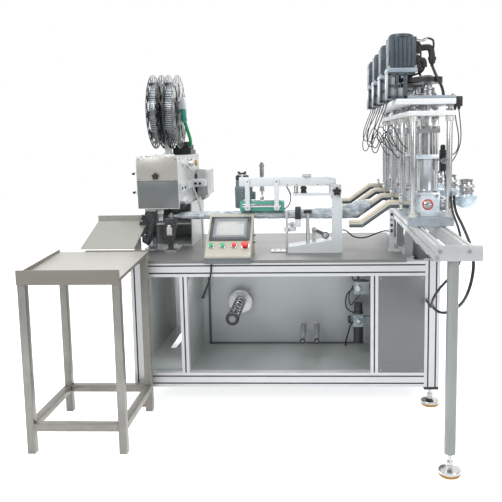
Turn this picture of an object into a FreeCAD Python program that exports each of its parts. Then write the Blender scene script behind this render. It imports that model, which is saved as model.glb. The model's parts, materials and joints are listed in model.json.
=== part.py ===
"""Film-tube filling line: four piston pumps on a sliding carriage, a film sealer, a double clipper and a table.

Lengths are millimetres. While the pieces are made, X runs right along the front of the machine from the outer
face of its left posts, Y runs away from the front face, and Z runs up from the floor. At the end everything is
moved so that the origin is the middle of the whole footprint, on the floor.
"""
import FreeCAD
import Part
import math
import os

V = FreeCAD.Vector
X_AXIS = V(1, 0, 0)
Y_AXIS = V(0, 1, 0)
Z_AXIS = V(0, 0, 1)

# Machine frame, made of slotted aluminium profile
frame_width = 1670.0
frame_depth = 995.0
frame_top = 813.0
frame_bottom = 115.0
post_width = 80.0
bar_width = 40.0
rail_height = 80.0
slot_pitch = 40.0
slot_width = 8.0
slot_depth = 10.0
slot_cover_recess = 1.0
left_upright_x = 286.0
right_upright_x = frame_width - 350.0
cap_height = 16.0

# Levelling feet
foot_radius = 50.0
foot_disc_height = 14.0
foot_pad_height = 15.0
foot_stem_radius = 9.0
foot_nut_radius = 17.0

# Table top and cabinet
top_thickness = 10.0
top_right_x = frame_width - 180.0
top_lip = 16.0
table_lip = 2.0
panel_thickness = 2.0
bay_back_y = 515.0
bay_floor_z = 195.0

# Film unwind shaft and guide rollers in the middle bay
spindle_x = 540.0
spindle_z = 479.0
spindle_radius = 28.0
spindle_front_y = 67.0
spindle_flange_radius = 73.0
spindle_flange_y = 450.0
spindle_shaft_radius = 12.5
running_gap = 0.05
knob_stud_radius = 5.0
roller_radius = 18.0
roller_left_x = 926.0
roller_spacing = 81.0
roller_xs = (roller_left_x, roller_left_x + roller_spacing)
roller_z = 315.0
roller_front_y = 192.0
roller_axle_radius = 6.0

# Film line
film_y = 290.0
film_z = 1036.0
film_half_width = 32.0
film_left_x = 178.0

# Sealer
sealer_front_y = 213.0
column_left_x = frame_width - 573.0
stand_left_x = column_left_x - 249.0
column_width = 60.0
column_depth = 42.0
column_top_z = 1134.0
arm_bottom_z = 1204.0
arm_height = 50.0
arm_left_x = column_left_x - 520.0
arm_pivot_x = column_left_x + 6.0
arm_pivot_z = 1226.0
arm_front_y = 222.0
arm_back_y = 250.0
arm_pin_radius = 6.0
head_left_x = column_left_x - 517.0
head_length = 246.0
head_bottom_z = 1062.0
head_height = 55.0
head_travel = 12.0
dancer_x = column_left_x - 101.0
dancer_z = 950.0
dancer_length = 73.0
dancer_angle = 25.0
dancer_roller_radius = 19.0
film_guide_rod_x = column_left_x - 135.0
ring_x = column_left_x - 209.0
ring_length = 36.0

# Clipper
clipper_left_x = 0.0
clipper_width = 237.0
clipper_front_y = 200.0
clipper_back_y = 870.0
head_bottom = 1088.0
head_top = 1376.0
cover_depth = 18.0
cover_bend_z = 1241.0
hinge_radius = 6.0
hinge_pin_radius = 3.0
punch_x = 110.0
stand_front_y = 490.0
reel_y = 520.0
reel_z = 1636.0
reel_radius = 220.0
reel_hub_radius = 45.0
reel_strip_radius = 172.0
reel_width = 56.0
reel_gap = 38.0
reel_left_x = 41.0
reel_axle_radius = 10.0
punch_travel = 18.0
gate_travel = 20.0

# Console
console_left_x = 409.0
console_width = 248.0
console_front_y = -14.0
console_front_height = 41.0
console_rise = 199.0
console_run = 240.0
button_radius = 11.0
button_travel = 4.0
stop_travel = 6.0

# Receiving table
tray_left_x = -370.0
tray_width = 482.0
tray_gap = 31.0
tray_depth = 531.0
tray_front_y = -tray_gap - tray_depth
tray_top_z = 888.0
tray_skirt = 70.0
tray_leg = 38.0

# Pump rails in front of and above the frame
beam_left_x = frame_width - 169.0
beam_width = 40.0
beam_gap = 81.0
beam_height = 64.0
beam_top_z = 1022.0
beam_front_y = -753.0
beam_back_y = 1215.0
end_plate_width = 198.0
end_plate_thickness = 12.0
leg_radius = 25.0
leg_y = -727.0
leg_x = beam_left_x + 84.0

# Pump carriage and pumps
pump_count = 4
pump_pitch = 400.0
pump_first_y = -110.0
pump_x = frame_width - 100.0
carriage_margin = 95.0
base_thickness = 20.0
base_gap = 30.0
base_left_x = pump_x - 104.0
base_width = 229.0
block_width = 120.0
block_depth = 112.0
block_height = 120.0
port_radius = 18.0
rotor_radius = 27.0
barrel_radius = 43.0
barrel_bore = 40.0
barrel_height = 170.0
barrel_cap = 20.0
tie_rod_offset = 44.0
tie_rod_radius = 6.0
piston_height = 40.0
piston_rod_radius = 30.0
crosshead_z = 1490.0
crosshead_height = 20.0
piston_stroke = 100.0
screw_radius = 10.0
screw_shaft_radius = 13.0
screw_lead = 20.0
lower_plate_z = 1573.0
lower_plate_thickness = 24.0
upper_plate_z = 1628.0
upper_plate_thickness = 28.0
upper_plate_left_x = pump_x - 165.0
drive_plate_thickness = 15.0
column_radius = 15.0
pulley_radius = 75.0
pulley_z = 1734.0
pulley_height = 30.0
motor_x = pump_x - 133.0
motor_pulley_radius = 24.0
belt_thickness = 3.0
motor_width = 146.0
motor_bottom_z = 1785.0
motor_flange_height = 22.0
motor_body_height = 150.0
nozzle_size = 38.0
nozzle_drop = 100.0
nozzle_tip_x = pump_x - 391.0
nozzle_lower_bend_x = pump_x - 327.0
nozzle_upper_bend_x = pump_x - 186.0
clamp_radius = 32.0
inlet_x = pump_x + 202.0
inlet_tube_radius = 25.4
inlet_bore_radius = 23.9
inlet_ferrule_radius = 32.0
inlet_height = 122.0

parts = {}


def box(x0, x1, y0, y1, z0, z1):
    return Part.makeBox(x1 - x0, y1 - y0, z1 - z0, V(x0, y0, z0))


def rod(start, axis, radius, length):
    return Part.makeCylinder(radius, length, start, axis)


def tube(start, axis, outer, inner, length):
    return rod(start, axis, outer, length).cut(rod(start, axis, inner, length))


def prism_x(points_yz, x0, x1):
    """A solid whose outline is given in Y and Z, from x0 to x1."""
    wire = Part.makePolygon([V(x0, y, z) for y, z in points_yz + points_yz[:1]])
    return Part.Face(wire).extrude(V(x1 - x0, 0, 0))


def prism_y(points_xz, y0, y1):
    """A solid whose outline is given in X and Z, from y0 to y1."""
    wire = Part.makePolygon([V(x, y0, z) for x, z in points_xz + points_xz[:1]])
    return Part.Face(wire).extrude(V(0, y1 - y0, 0))


def prism_z(points_xy, z0, z1):
    """A solid whose outline is given in X and Y, from z0 to z1."""
    wire = Part.makePolygon([V(x, y, z0) for x, y in points_xy + points_xy[:1]])
    return Part.Face(wire).extrude(V(0, 0, z1 - z0))


def revolve_z(x, y, outline):
    """A turned solid about an upright axis. The outline is a list of radius and height."""
    wire = Part.makePolygon([V(x + r, y, z) for r, z in outline + outline[:1]])
    return Part.Face(wire).revolve(V(x, y, 0), Z_AXIS, 360)


def fuse(*solids):
    result = solids[0]
    for solid in solids[1:]:
        result = result.fuse(solid)
    return result.removeSplitter()


def add(name, *solids):
    parts.setdefault(name, []).extend(solids)


def slot_offsets(width):
    """Where the slots lie across a profile face: one on a 40 face, two on an 80 face."""
    count = int(round(width / slot_pitch))
    return [slot_pitch * (index + 0.5) for index in range(count)]


def slotted_bar(x0, x1, y0, y1, z0, z1, along, faces):
    """A profile bar with slots on the named faces, and the cover strips that fill them."""
    bar = box(x0, x1, y0, y1, z0, z1)
    covers = []
    half = slot_width / 2
    for face in faces:
        across = {"x": (x0, x1), "y": (y0, y1), "z": (z0, z1)}
        normal_axis = face[1]
        free_axis = [axis for axis in "xyz" if axis not in (normal_axis, along)][0]
        low, high = across[free_axis]
        for offset in slot_offsets(high - low):
            limits = dict(across)
            limits[free_axis] = (low + offset - half, low + offset + half)
            outer = across[normal_axis][0 if face[0] == "-" else 1]
            inward = slot_depth if face[0] == "-" else -slot_depth
            recess = slot_cover_recess if face[0] == "-" else -slot_cover_recess
            limits[normal_axis] = tuple(sorted((outer, outer + inward)))
            bar = bar.cut(box(*limits["x"], *limits["y"], *limits["z"]))
            limits[normal_axis] = tuple(sorted((outer + recess, outer + inward)))
            covers.append(box(*limits["x"], *limits["y"], *limits["z"]))
    return bar, covers


def add_bar(x0, x1, y0, y1, z0, z1, along, faces):
    bar, covers = slotted_bar(x0, x1, y0, y1, z0, z1, along, faces)
    add("frame_profiles", bar)
    add("profile_trim", *covers)


def levelling_foot(x, y, top_z):
    """One foot: a rubber pad under a turned disc, with a stem and a lock nut up to top_z."""
    pad_top = foot_pad_height
    disc_top = pad_top + foot_disc_height
    hub = foot_stem_radius * 1.9
    hub_top = disc_top + foot_nut_radius
    disc = revolve_z(x, y, [
        (0, pad_top),
        (foot_radius, pad_top),
        (foot_radius, disc_top - 4),
        (foot_radius - 4, disc_top),
        (hub, hub_top - 6),
        (hub, hub_top),
        (foot_stem_radius, hub_top),
        (foot_stem_radius, top_z),
        (0, top_z),
    ])
    nut = Part.makeCylinder(foot_nut_radius, 14, V(x, y, hub_top + 4))
    nut = nut.cut(Part.makeCylinder(foot_stem_radius, 14, V(x, y, hub_top + 4)))
    pad = revolve_z(x, y, [
        (0, 0),
        (foot_radius - 5, 0),
        (foot_radius, pad_top - 6),
        (foot_radius, pad_top),
        (0, pad_top),
    ])
    add("leveling_feet", disc, nut)
    add("foot_pads", pad)


def make_frame():
    right = frame_width
    back = frame_depth
    top = frame_top
    low = frame_bottom
    for x in (0.0, right - post_width):
        for y in (0.0, back - post_width):
            faces = ["-y" if y == 0 else "+y", "-x" if x == 0 else "+x"]
            add_bar(x, x + post_width, y, y + post_width, low, top, "z", faces)
            add("profile_trim", box(x + 1, x + post_width - 1, y + 1, y + post_width - 1, low - cap_height, low))
            levelling_foot(x + post_width / 2, y + post_width / 2, low - cap_height)
    lower_top = low + rail_height
    upper_low = top - rail_height
    for z0, z1 in ((low, lower_top), (upper_low, top)):
        add_bar(post_width, right - post_width, 0, bar_width, z0, z1, "x", ["-y"])
        add_bar(post_width, right - post_width, back - bar_width, back, z0, z1, "x", ["+y"])
        add_bar(0, bar_width, post_width, back - post_width, z0, z1, "y", ["-x"])
        add_bar(right - bar_width, right, post_width, back - post_width, z0, z1, "y", ["+x"])
    for x in (left_upright_x, right_upright_x):
        add_bar(x - bar_width / 2, x + bar_width / 2, 0, bar_width, lower_top, upper_low, "z", ["-y"])
        add_bar(x - bar_width / 2, x + bar_width / 2, back - bar_width, back, lower_top, upper_low, "z", ["+y"])
    beam_post_x = beam_left_x - 4
    add_bar(beam_post_x, beam_post_x + bar_width, bar_width, back - bar_width, upper_low, top, "y", [])


def make_table_top():
    """The sheet on the frame, with a folded front edge that laps down over the rail."""
    sheet = box(0, top_right_x, -table_lip, frame_depth, frame_top, frame_top + top_thickness)
    lip = box(0, top_right_x, -table_lip, 0, frame_top + top_thickness - top_lip, frame_top)
    add("table_top", fuse(sheet, lip))


def make_cabinet():
    """Sheets that close the bays, all of them one panel thickness."""
    t = panel_thickness
    lower_top = frame_bottom + rail_height
    upper_low = frame_top - rail_height
    left_wall_x = left_upright_x + bar_width / 2 - t
    right_wall_x = right_upright_x + bar_width / 2
    inner_right = frame_width - post_width
    back_inner = frame_depth - bar_width
    floor = box(bar_width, frame_width - bar_width, bar_width, back_inner, lower_top, lower_top + t)
    for x in (0, frame_width):
        for y in (0, frame_depth):
            corner_x = x if x == 0 else x - post_width
            corner_y = y if y == 0 else y - post_width
            corner = box(corner_x, corner_x + post_width, corner_y, corner_y + post_width, lower_top, lower_top + t)
            floor = floor.cut(corner)
    back_wall = box(left_wall_x + t, right_wall_x, bay_back_y, bay_back_y + t, lower_top + t, upper_low)
    for x in roller_xs:
        back_wall = back_wall.cut(rod(V(x, bay_back_y - 1, roller_z), Y_AXIS, roller_axle_radius, 2 * t))
    back_wall = back_wall.cut(rod(V(spindle_x, bay_back_y - 1, spindle_z), Y_AXIS, spindle_shaft_radius + 1, 2 * t))
    left_wall = box(left_wall_x, left_wall_x + t, bar_width, back_inner, lower_top + t, upper_low)
    right_wall = box(right_wall_x, right_wall_x + t, bar_width, back_inner, lower_top + t, upper_low)
    right_panel = box(right_wall_x, inner_right, 2, 2 + t, lower_top, upper_low)
    back_panel = box(post_width, inner_right, back_inner - t, back_inner, lower_top + t, upper_low)
    back_panel = back_panel.cut(box(left_wall_x, left_wall_x + t, back_inner - t, back_inner, lower_top, upper_low))
    back_panel = back_panel.cut(box(right_wall_x, right_wall_x + t, back_inner - t, back_inner, lower_top, upper_low))
    side_panels = []
    for x in (bar_width - t, frame_width - bar_width):
        side_panels.append(box(x, x + t, post_width, frame_depth - post_width, lower_top, upper_low))
    add("cabinet_panels", floor, back_wall, left_wall, right_wall, right_panel, back_panel, *side_panels)
    for x in (right_wall_x + 14, inner_right - 14):
        for z in (lower_top + 14, upper_low - 14):
            add("cabinet_panels", rod(V(x, 0, z), Y_AXIS, 4.5, 2))
    add("cabinet_panels", box(left_wall_x + t, left_wall_x + 22, 446, 472, 494, 522))
    bracket_x = left_wall_x - 52
    bracket = fuse(
        box(bracket_x, left_wall_x, 200, 204, 400, 622),
        prism_y([(bracket_x, 400), (bracket_x + 40, 400), (bracket_x - 60, 272), (bracket_x - 92, 272)], 196, 204),
    )
    add("cabinet_panels", bracket)
    add("cabinet_panels", box(bracket_x + 12, left_wall_x - 6, 160, 200, 440, 590))


def make_unwind():
    """The film shaft and the two guide rollers, all carried by the wall behind the middle bay."""
    wall = bay_back_y
    bearing = rod(V(spindle_x, wall - 34, spindle_z), Y_AXIS, 36, 34)
    bearing = bearing.cut(rod(V(spindle_x, wall - 34, spindle_z), Y_AXIS, spindle_shaft_radius + running_gap, 34))
    add("cabinet_panels", bearing)
    mandrel = rod(V(spindle_x, spindle_front_y + 22, spindle_z), Y_AXIS, spindle_radius,
                  spindle_flange_y - spindle_front_y - 22)
    end_ring = rod(V(spindle_x, spindle_front_y, spindle_z), Y_AXIS, spindle_radius + 7, 26)
    shaft = rod(V(spindle_x, spindle_flange_y, spindle_z), Y_AXIS, spindle_shaft_radius, wall - spindle_flange_y + 20)
    add("film_spindle", fuse(mandrel, end_ring, shaft))
    flange = tube(V(spindle_x, spindle_flange_y, spindle_z), Y_AXIS, spindle_flange_radius, spindle_shaft_radius, 6)
    add("film_spindle", flange)
    for name, x in zip(("guide_roller_left", "guide_roller_right"), roller_xs):
        tip = roller_front_y
        axle = rod(V(x, tip, roller_z), Y_AXIS, roller_axle_radius, wall - tip)
        collar = rod(V(x, tip - 6, roller_z), Y_AXIS, roller_axle_radius + 5, 6)
        back_collar = tube(V(x, wall - 8, roller_z), Y_AXIS, roller_axle_radius + 5, roller_axle_radius, 8)
        add("cabinet_panels", fuse(axle, collar, back_collar))
        length = wall - tip - 8 - 0.6
        add(name, tube(V(x, tip + 0.3, roller_z), Y_AXIS, roller_radius, roller_axle_radius + running_gap, length))


def make_air_unit():
    """The compressed-air filter, regulator and shut-off block on the right wall of the middle bay."""
    wall_x = right_upright_x + bar_width / 2
    x = 1252.0
    y = 300.0
    plate = box(wall_x - 8, wall_x, y - 45, y + 60, 300, 660)
    bridge = box(x + 28, wall_x - 8, y - 18, y + 18, 392, 430)
    body = box(x - 30, x + 28, y - 28, y + 28, 372, 446)
    neck = rod(V(x, y, 446), Z_AXIS, 22, 30)
    valve = box(x - 26, x + 60, y - 26, y + 26, 566, 640)
    gauge_stem = rod(V(x - 30, y, 410), V(-1, 0, 0), 6, 12)
    gauge = rod(V(x - 42, y, 410), V(-1, 0, 0), 20, 16)
    add("air_unit", fuse(plate, bridge, body, neck, box(x + 60, wall_x - 8, y - 12, y + 12, 590, 616), valve),
        fuse(gauge_stem, gauge))
    bowl = revolve_z(x, y, [(0, 256), (14, 256), (24, 268), (26, 372), (0, 372)])
    add("air_unit", bowl)
    stud_top = 500.0
    add("air_unit", rod(V(x, y, 476), Z_AXIS, knob_stud_radius, stud_top - 476))
    knob = rod(V(x, y, 476.3), Z_AXIS, 24, 34)
    add("regulator_knob", knob.cut(rod(V(x, y, 476.3), Z_AXIS, knob_stud_radius + running_gap, stud_top - 476)))


def make_clipper_stand():
    """Base plate, open steel box under the head and its side walls."""
    table = frame_top + top_thickness
    t = 6.0
    left = clipper_left_x + 20
    right = clipper_left_x + clipper_width + 15
    front = stand_front_y
    back = 935.0
    shell = box(left, right, front, back, table, head_bottom)
    inner = box(left + t, right - t, front - 1, back - t, table + t, head_bottom - t)
    shell = shell.cut(inner)
    shelf = box(left + t, right - t, front + 4, back - t, 955, 961)
    base = box(clipper_left_x - 8, right - 60, 345, front, table, table + 10)
    base = base.fuse(rod(V(clipper_left_x + 32, 345, table), Z_AXIS, 30, 10)).removeSplitter()
    add("clipper_stand", fuse(shell, shelf, base))


def make_clipper_head():
    """The housing that carries the punch, its bolted cover and the pieces fixed to its sides."""
    x0 = clipper_left_x
    x1 = clipper_left_x + clipper_width
    cover_back = clipper_front_y + cover_depth
    housing = box(x0, x1, cover_back + 0.3, clipper_back_y, head_bottom, head_top)
    housing = housing.cut(box(x0 + 5, x1 - 5, cover_back + 6, clipper_back_y - 5, head_bottom + 10, head_top - 6))
    housing = housing.cut(box(x0 + 5, x1 - 5, cover_back + 6, film_y + 60, head_bottom - 1, head_bottom + 11))
    bottom = box(x0 + 5, x1 - 5, cover_back + 6, film_y + 60, head_bottom, head_bottom + 10)
    guide_hole = box(punch_x - 16.1, punch_x + 16.1, film_y - 16.1, film_y + 16.1, head_bottom - 1, head_bottom + 11)
    housing = fuse(housing, bottom.cut(guide_hole))
    hinge_z = head_top + hinge_radius + 0.3
    for lug_x in (x0 + 20, x1 - 80):
        pin = rod(V(lug_x, cover_back, hinge_z), X_AXIS, hinge_pin_radius, 60)
        for x in (lug_x, lug_x + 40.3):
            knuckle = rod(V(x, cover_back, hinge_z), X_AXIS, hinge_radius, 19.7)
            leaf = box(x, x + 19.7, cover_back + 0.3, cover_back + 14, head_top, hinge_z)
            pin = fuse(pin, knuckle, leaf)
        housing = housing.fuse(pin)
    add("clipper_head", housing.removeSplitter())
    outline = [
        (cover_back, head_top),
        (clipper_front_y, head_top),
        (clipper_front_y, cover_bend_z),
        (clipper_front_y + 10, head_bottom - 7),
        (cover_back, head_bottom - 7),
    ]
    skin = 3.0
    hollow = [
        (cover_back + 1, head_top - skin),
        (clipper_front_y + skin, head_top - skin),
        (clipper_front_y + skin, cover_bend_z),
        (clipper_front_y + 10 + skin, head_bottom - 7 + skin),
        (cover_back + 1, head_bottom - 7 + skin),
    ]
    cover = prism_x(outline, x0, x1).cut(prism_x(hollow, x0 + skin, x1 - skin))
    knob_x = x0 + 109
    knob_z = 1267.0
    cover = cover.cut(rod(V(knob_x, clipper_front_y - 1, knob_z), Y_AXIS, knob_stud_radius + running_gap, skin + 2))
    for lug_x in (x0 + 40, x1 - 60):
        knuckle = rod(V(lug_x, cover_back, hinge_z), X_AXIS, hinge_radius, 20)
        leaf = box(lug_x, lug_x + 20, cover_back - 12, cover_back - 0.3, head_top - 2, hinge_z)
        bore = rod(V(lug_x, cover_back, hinge_z), X_AXIS, hinge_pin_radius + running_gap, 20)
        cover = cover.fuse(fuse(knuckle, leaf).cut(bore))
    add("clipper_cover", cover.removeSplitter())
    knob_stud = rod(V(knob_x, clipper_front_y - 4, knob_z), Y_AXIS, knob_stud_radius, 20)
    add("cover_knob", fuse(star_knob(knob_x, clipper_front_y - 0.3, knob_z, 19, 16), knob_stud))
    plug = rod(V(x1, 330, 1330), X_AXIS, 18, 14)
    hex_plug = rod(V(x1, 400, 1326), X_AXIS, 15, 18)
    bracket = fuse(box(x1, x1 + 10, 230, 560, 1168, 1222), box(x1 + 10, x1 + 18, 420, 560, 1182, 1222))
    knob_a = rod(V(x1, 262, 1124), X_AXIS, 17, 20)
    knob_b = rod(V(x1, 318, 1124), X_AXIS, 17, 20)
    add("clipper_head", plug, hex_plug, bracket, knob_a, knob_b)
    for z in (1278.0, 1170.0):
        stem = rod(V(x0 - 22, 300, z), X_AXIS, 4, 22)
        bar = rod(V(x0 - 22, 280, z), Y_AXIS, 5, 40)
        add("clipper_head", fuse(stem, bar))
    add("clipper_head", rod(V(x0 - 12, 300, 1232), X_AXIS, 9, 12))


def star_knob(x, y, z, radius, depth):
    """A five-lobed grip whose flat back is at y and whose front faces the viewer."""
    body = rod(V(x, y - depth, z), Y_AXIS, radius * 0.68, depth)
    for index in range(5):
        turn = math.radians(90 + 72 * index)
        centre = V(x + math.cos(turn) * radius * 0.7, y - depth + 2, z + math.sin(turn) * radius * 0.7)
        body = body.fuse(rod(centre, Y_AXIS, radius * 0.34, depth - 5))
    return body.removeSplitter()


def make_clip_tools():
    """The moving punch and gate, and the fixed die arms between them."""
    table = frame_top + top_thickness
    punch = fuse(
        box(punch_x - 16, punch_x + 16, film_y - 16, film_y + 16, 1058, head_bottom + 60),
        box(punch_x - 12, punch_x + 12, film_y - 10, film_y + 10, 1006, 1058),
    )
    add("clip_punch", punch)
    left_arm = prism_y([(52, 1062), (84, 1062), (62, 940), (38, 862), (4, 880), (22, 960)], film_y - 26, film_y - 14)
    post = box(30, 60, film_y - 14, 345, 862, 900)
    riser = box(20, 64, 330, 372, table + 10, 1062)
    cross = box(24, 88, film_y - 26, 372, 1062, 1080)
    add("clip_die", fuse(left_arm, post, riser, cross))
    gate = prism_y([(140, 1020), (206, 1020), (196, 940), (180, 870), (142, 870), (136, 940)],
                   film_y - 30, film_y - 14)
    die = box(152, 178, film_y - 38, film_y - 30, 925, 968)
    add("clip_gate", fuse(gate, die))
    slide_rail = box(150, film_left_x, film_y - 13.7, film_y - 2, table + 10, 1000)
    foot = box(130, 192, film_y - 13.7, 345, table, table + 10)
    anvil = box(166, film_left_x, film_y - 13.7, film_y + 12, 1000, 1050)
    add("clip_die", fuse(slide_rail, foot, anvil))


def make_reels():
    """Two clip reels on one cross axle that a square post carries between them."""
    gap_x0 = reel_left_x + reel_width
    post_x = gap_x0 + reel_gap / 2
    half = 17.5
    post = box(post_x - half, post_x + half, reel_y - half, reel_y + half, head_top, reel_z + 40)
    axle = rod(V(reel_left_x - 14, reel_y, reel_z), X_AXIS, reel_axle_radius, 2 * reel_width + reel_gap + 28)
    left_cap = rod(V(reel_left_x - 24, reel_y, reel_z), X_AXIS, 20, 10)
    right_x = gap_x0 + reel_gap + reel_width
    right_cap = box(right_x + 14, right_x + 44, reel_y - 24, reel_y + 24, reel_z - 22, reel_z + 40)
    add("reel_stand", fuse(post, axle, left_cap, right_cap))
    for name, x in (("clip_reel_left", reel_left_x), ("clip_reel_right", gap_x0 + reel_gap)):
        add(name, clip_reel(x))
        add(name, tube(V(x + 5, reel_y, reel_z), X_AXIS, reel_strip_radius, reel_hub_radius, reel_width - 10))


def clip_reel(x):
    """A spool with two spoked flanges."""
    bore = reel_axle_radius + running_gap
    hub = tube(V(x, reel_y, reel_z), X_AXIS, reel_hub_radius, bore, reel_width)
    spool = hub
    for flange_x in (x, x + reel_width - 4):
        rim = tube(V(flange_x, reel_y, reel_z), X_AXIS, reel_radius, reel_radius - 16, 4)
        middle = tube(V(flange_x, reel_y, reel_z), X_AXIS, reel_hub_radius + 18, bore, 4)
        flange = rim.fuse(middle)
        for index in range(8):
            spoke = box(flange_x, flange_x + 4, reel_y - 7, reel_y + 7, reel_z + reel_hub_radius,
                        reel_z + reel_radius - 8)
            spoke.rotate(V(flange_x, reel_y, reel_z), X_AXIS, 45 * index)
            flange = flange.fuse(spoke)
        spool = spool.fuse(flange)
    return spool.removeSplitter()


def make_clipper_services():
    """The valve block on the head and the junction box on the stand."""
    x1 = clipper_left_x + clipper_width
    manifold = fuse(
        box(122, 226, 640, 830, head_top, head_top + 34),
        box(132, 216, 655, 815, head_top + 34, head_top + 74),
    )
    add("clipper_services", manifold)
    box_body = box(x1 + 15, x1 + 75, 700, 960, 1105, 1282)
    box_body = box_body.makeChamfer(10, [edge for edge in box_body.Edges if edge.Length > 200])
    bracket = box(x1, x1 + 15, 730, 850, 1130, 1250)
    add("clipper_services", fuse(box_body, bracket))


def make_chute():
    """The sloped outfeed plate with its upstand, and the bracket that holds it to the base plate."""
    t = 3.0
    x0 = clipper_left_x - 266.0
    x1 = clipper_left_x + 28.0
    plate = prism_x([(-10, 892), (310, 1002), (310, 1036), (313, 1036), (313, 1000), (-10, 889)], x0, x1)
    rib = prism_x([(200, 820 + t), (345, 820 + t), (345, 860), (320, 988), (250, 966)], x1 - 60, x1 - 54)
    foot = box(x1 - 60, x1 - 20, 200, 312, 823, 829)
    add("outfeed_chute", fuse(plate, rib, foot))


def make_receiving_table():
    """The separate stainless table: four square tube legs, four stretchers and a skirted tray."""
    leg = tray_leg
    x0 = tray_left_x + 2
    x1 = tray_left_x + tray_width - 2 - leg
    y0 = tray_front_y + 2
    y1 = tray_front_y + tray_depth - leg - 2
    wall = 2.0
    skirt_bottom = tray_top_z - tray_skirt
    for x in (x0, x1):
        for y in (y0, y1):
            post = box(x, x + leg, y, y + leg, 0, skirt_bottom + 50)
            add("receiving_frame", post)
    for y in (y0, y1):
        add("receiving_frame", box(x0 + leg, x1, y, y + leg, 112, 150))
    for x in (x0, x1):
        add("receiving_frame", box(x, x + leg, y0 + leg, y1, 112, 150))
    outer = box(tray_left_x, tray_left_x + tray_width, tray_front_y, tray_front_y + tray_depth,
                skirt_bottom, tray_top_z)
    inner = box(tray_left_x + wall, tray_left_x + tray_width - wall, tray_front_y + wall,
                tray_front_y + tray_depth - wall, skirt_bottom - 1, skirt_bottom + 50 + 0.0)
    dish = box(tray_left_x + wall, tray_left_x + tray_width + 1, tray_front_y + wall,
               tray_front_y + tray_depth + 1, skirt_bottom + 54, tray_top_z + 1)
    add("receiving_tray", outer.cut(inner).cut(dish))


def panel_point(x, down, out):
    """A point on the console's sloped face: down from its top edge, out from the surface."""
    slope = math.atan2(console_rise, console_run)
    top_y = console_front_y + console_run
    top_z = frame_top + top_thickness + console_front_height - 16 + console_rise
    y = top_y - down * math.cos(slope) - out * math.sin(slope)
    z = top_z - down * math.sin(slope) + out * math.cos(slope)
    return V(x, y, z)


def panel_normal():
    slope = math.atan2(console_rise, console_run)
    return V(0, -math.sin(slope), math.cos(slope))


def make_console():
    """The sloped control box on the front edge, its touch screen, three push buttons and stop button."""
    x0 = console_left_x
    x1 = console_left_x + console_width
    table = frame_top + top_thickness
    front_low = frame_top - 7
    front_top = front_low + console_front_height
    top_y = console_front_y + console_run
    top_z = front_top + console_rise
    outline = [(console_front_y, front_low), (console_front_y, front_top), (top_y, top_z), (top_y + 12, top_z),
               (top_y + 12, table), (-table_lip, table), (-table_lip, front_low)]
    housing = prism_x(outline, x0, x1)
    normal = panel_normal()
    for x, radius, length in button_places():
        seat = panel_point(x, 238, -16)
        housing = housing.cut(rod(seat, normal, radius * 0.6 + running_gap, 20))
    add("console_housing", housing)
    screen = Part.makeBox(console_width - 28, 168, 8)
    slope_deg = math.degrees(math.atan2(console_rise, console_run))
    screen.rotate(V(0, 0, 0), X_AXIS, slope_deg)
    low_edge = panel_point(x0 + 14, 26 + 168, 0)
    screen.translate(low_edge)
    add("touch_screen", screen)
    names = ("start_button", "feed_button", "stop_button", "emergency_stop")
    for name, (x, radius, length) in zip(names, button_places()):
        stem = rod(panel_point(x, 238, -9), normal, radius * 0.6, 9 + length)
        cap = rod(panel_point(x, 238, length), normal, radius, 8 if name != "emergency_stop" else 14)
        add(name, stem.fuse(cap).removeSplitter())


def button_places():
    """Each button's X, cap radius and how far the cap's underside stands off the panel."""
    x0 = console_left_x
    return [
        (x0 + 30, button_radius, button_travel + 1),
        (x0 + 92, button_radius, button_travel + 1),
        (x0 + 154, button_radius, button_travel + 1),
        (x0 + 214, button_radius + 6, stop_travel + 1),
    ]


def make_sealer_stand():
    """White stand: a wedge base, a column and the fixed lower arm."""
    table = frame_top + top_thickness
    front = sealer_front_y
    back = 345.0
    knob_z = column_top_z + 38
    wedge = prism_y([(stand_left_x, table), (stand_left_x, 856), (column_left_x, 896), (column_left_x, table)],
                    front, back)
    column = box(column_left_x, column_left_x + column_width, front, front + column_depth, table, column_top_z)
    bracket = box(column_left_x - 6, column_left_x + column_width - 6, front - 4, front + column_depth + 8,
                  column_top_z, column_top_z + 78)
    pocket = box(column_left_x - 7, arm_pivot_x + 22, front + 8, arm_back_y + 0.4,
                 column_top_z + 26, column_top_z + 79)
    bracket = bracket.cut(pocket)
    bracket = bracket.cut(rod(V(column_left_x + 30, front - 5, knob_z), Y_AXIS, knob_stud_radius + running_gap, 14))
    cheek = box(column_left_x - 12, column_left_x + 24, arm_back_y + 0.4, arm_back_y + 12, column_top_z + 20, arm_pivot_z + 20)
    lower_arm = box(stand_left_x + 32, column_left_x, front + 10, front + 34, 1146, 1164)
    spring_post = rod(V(stand_left_x + 50, front + 22, 1164), Z_AXIS, 10, arm_bottom_z - 1164 - 0.3)
    damper = rod(V(stand_left_x + 92, front + 22, 1164), Z_AXIS, 13, arm_bottom_z - 1164 - 0.3)
    pin = rod(V(arm_pivot_x, arm_front_y - 4, arm_pivot_z), Y_AXIS, arm_pin_radius, arm_back_y - arm_front_y + 5)
    pin_head = rod(V(arm_pivot_x, arm_front_y - 8, arm_pivot_z), Y_AXIS, arm_pin_radius + 3, 7.7)
    add("sealer_stand", fuse(wedge, column, bracket, lower_arm, cheek, pin, pin_head), spring_post, damper)
    post = box(dancer_x - 11, dancer_x + 11, film_y - 8, film_y + 8, table, dancer_z)
    axle = rod(V(dancer_x, film_y - 32, dancer_z), Y_AXIS, 6, 40)
    add("sealer_stand", fuse(post, axle).cut(wedge))
    guide_y = film_y - 52
    guide_rod = rod(V(film_guide_rod_x, guide_y, table), Z_AXIS, 10, 227)
    guide_knob = rod(V(film_guide_rod_x, guide_y, table + 227), Z_AXIS, 17, 16)
    add("sealer_stand", fuse(guide_rod, guide_knob).cut(wedge))


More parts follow.
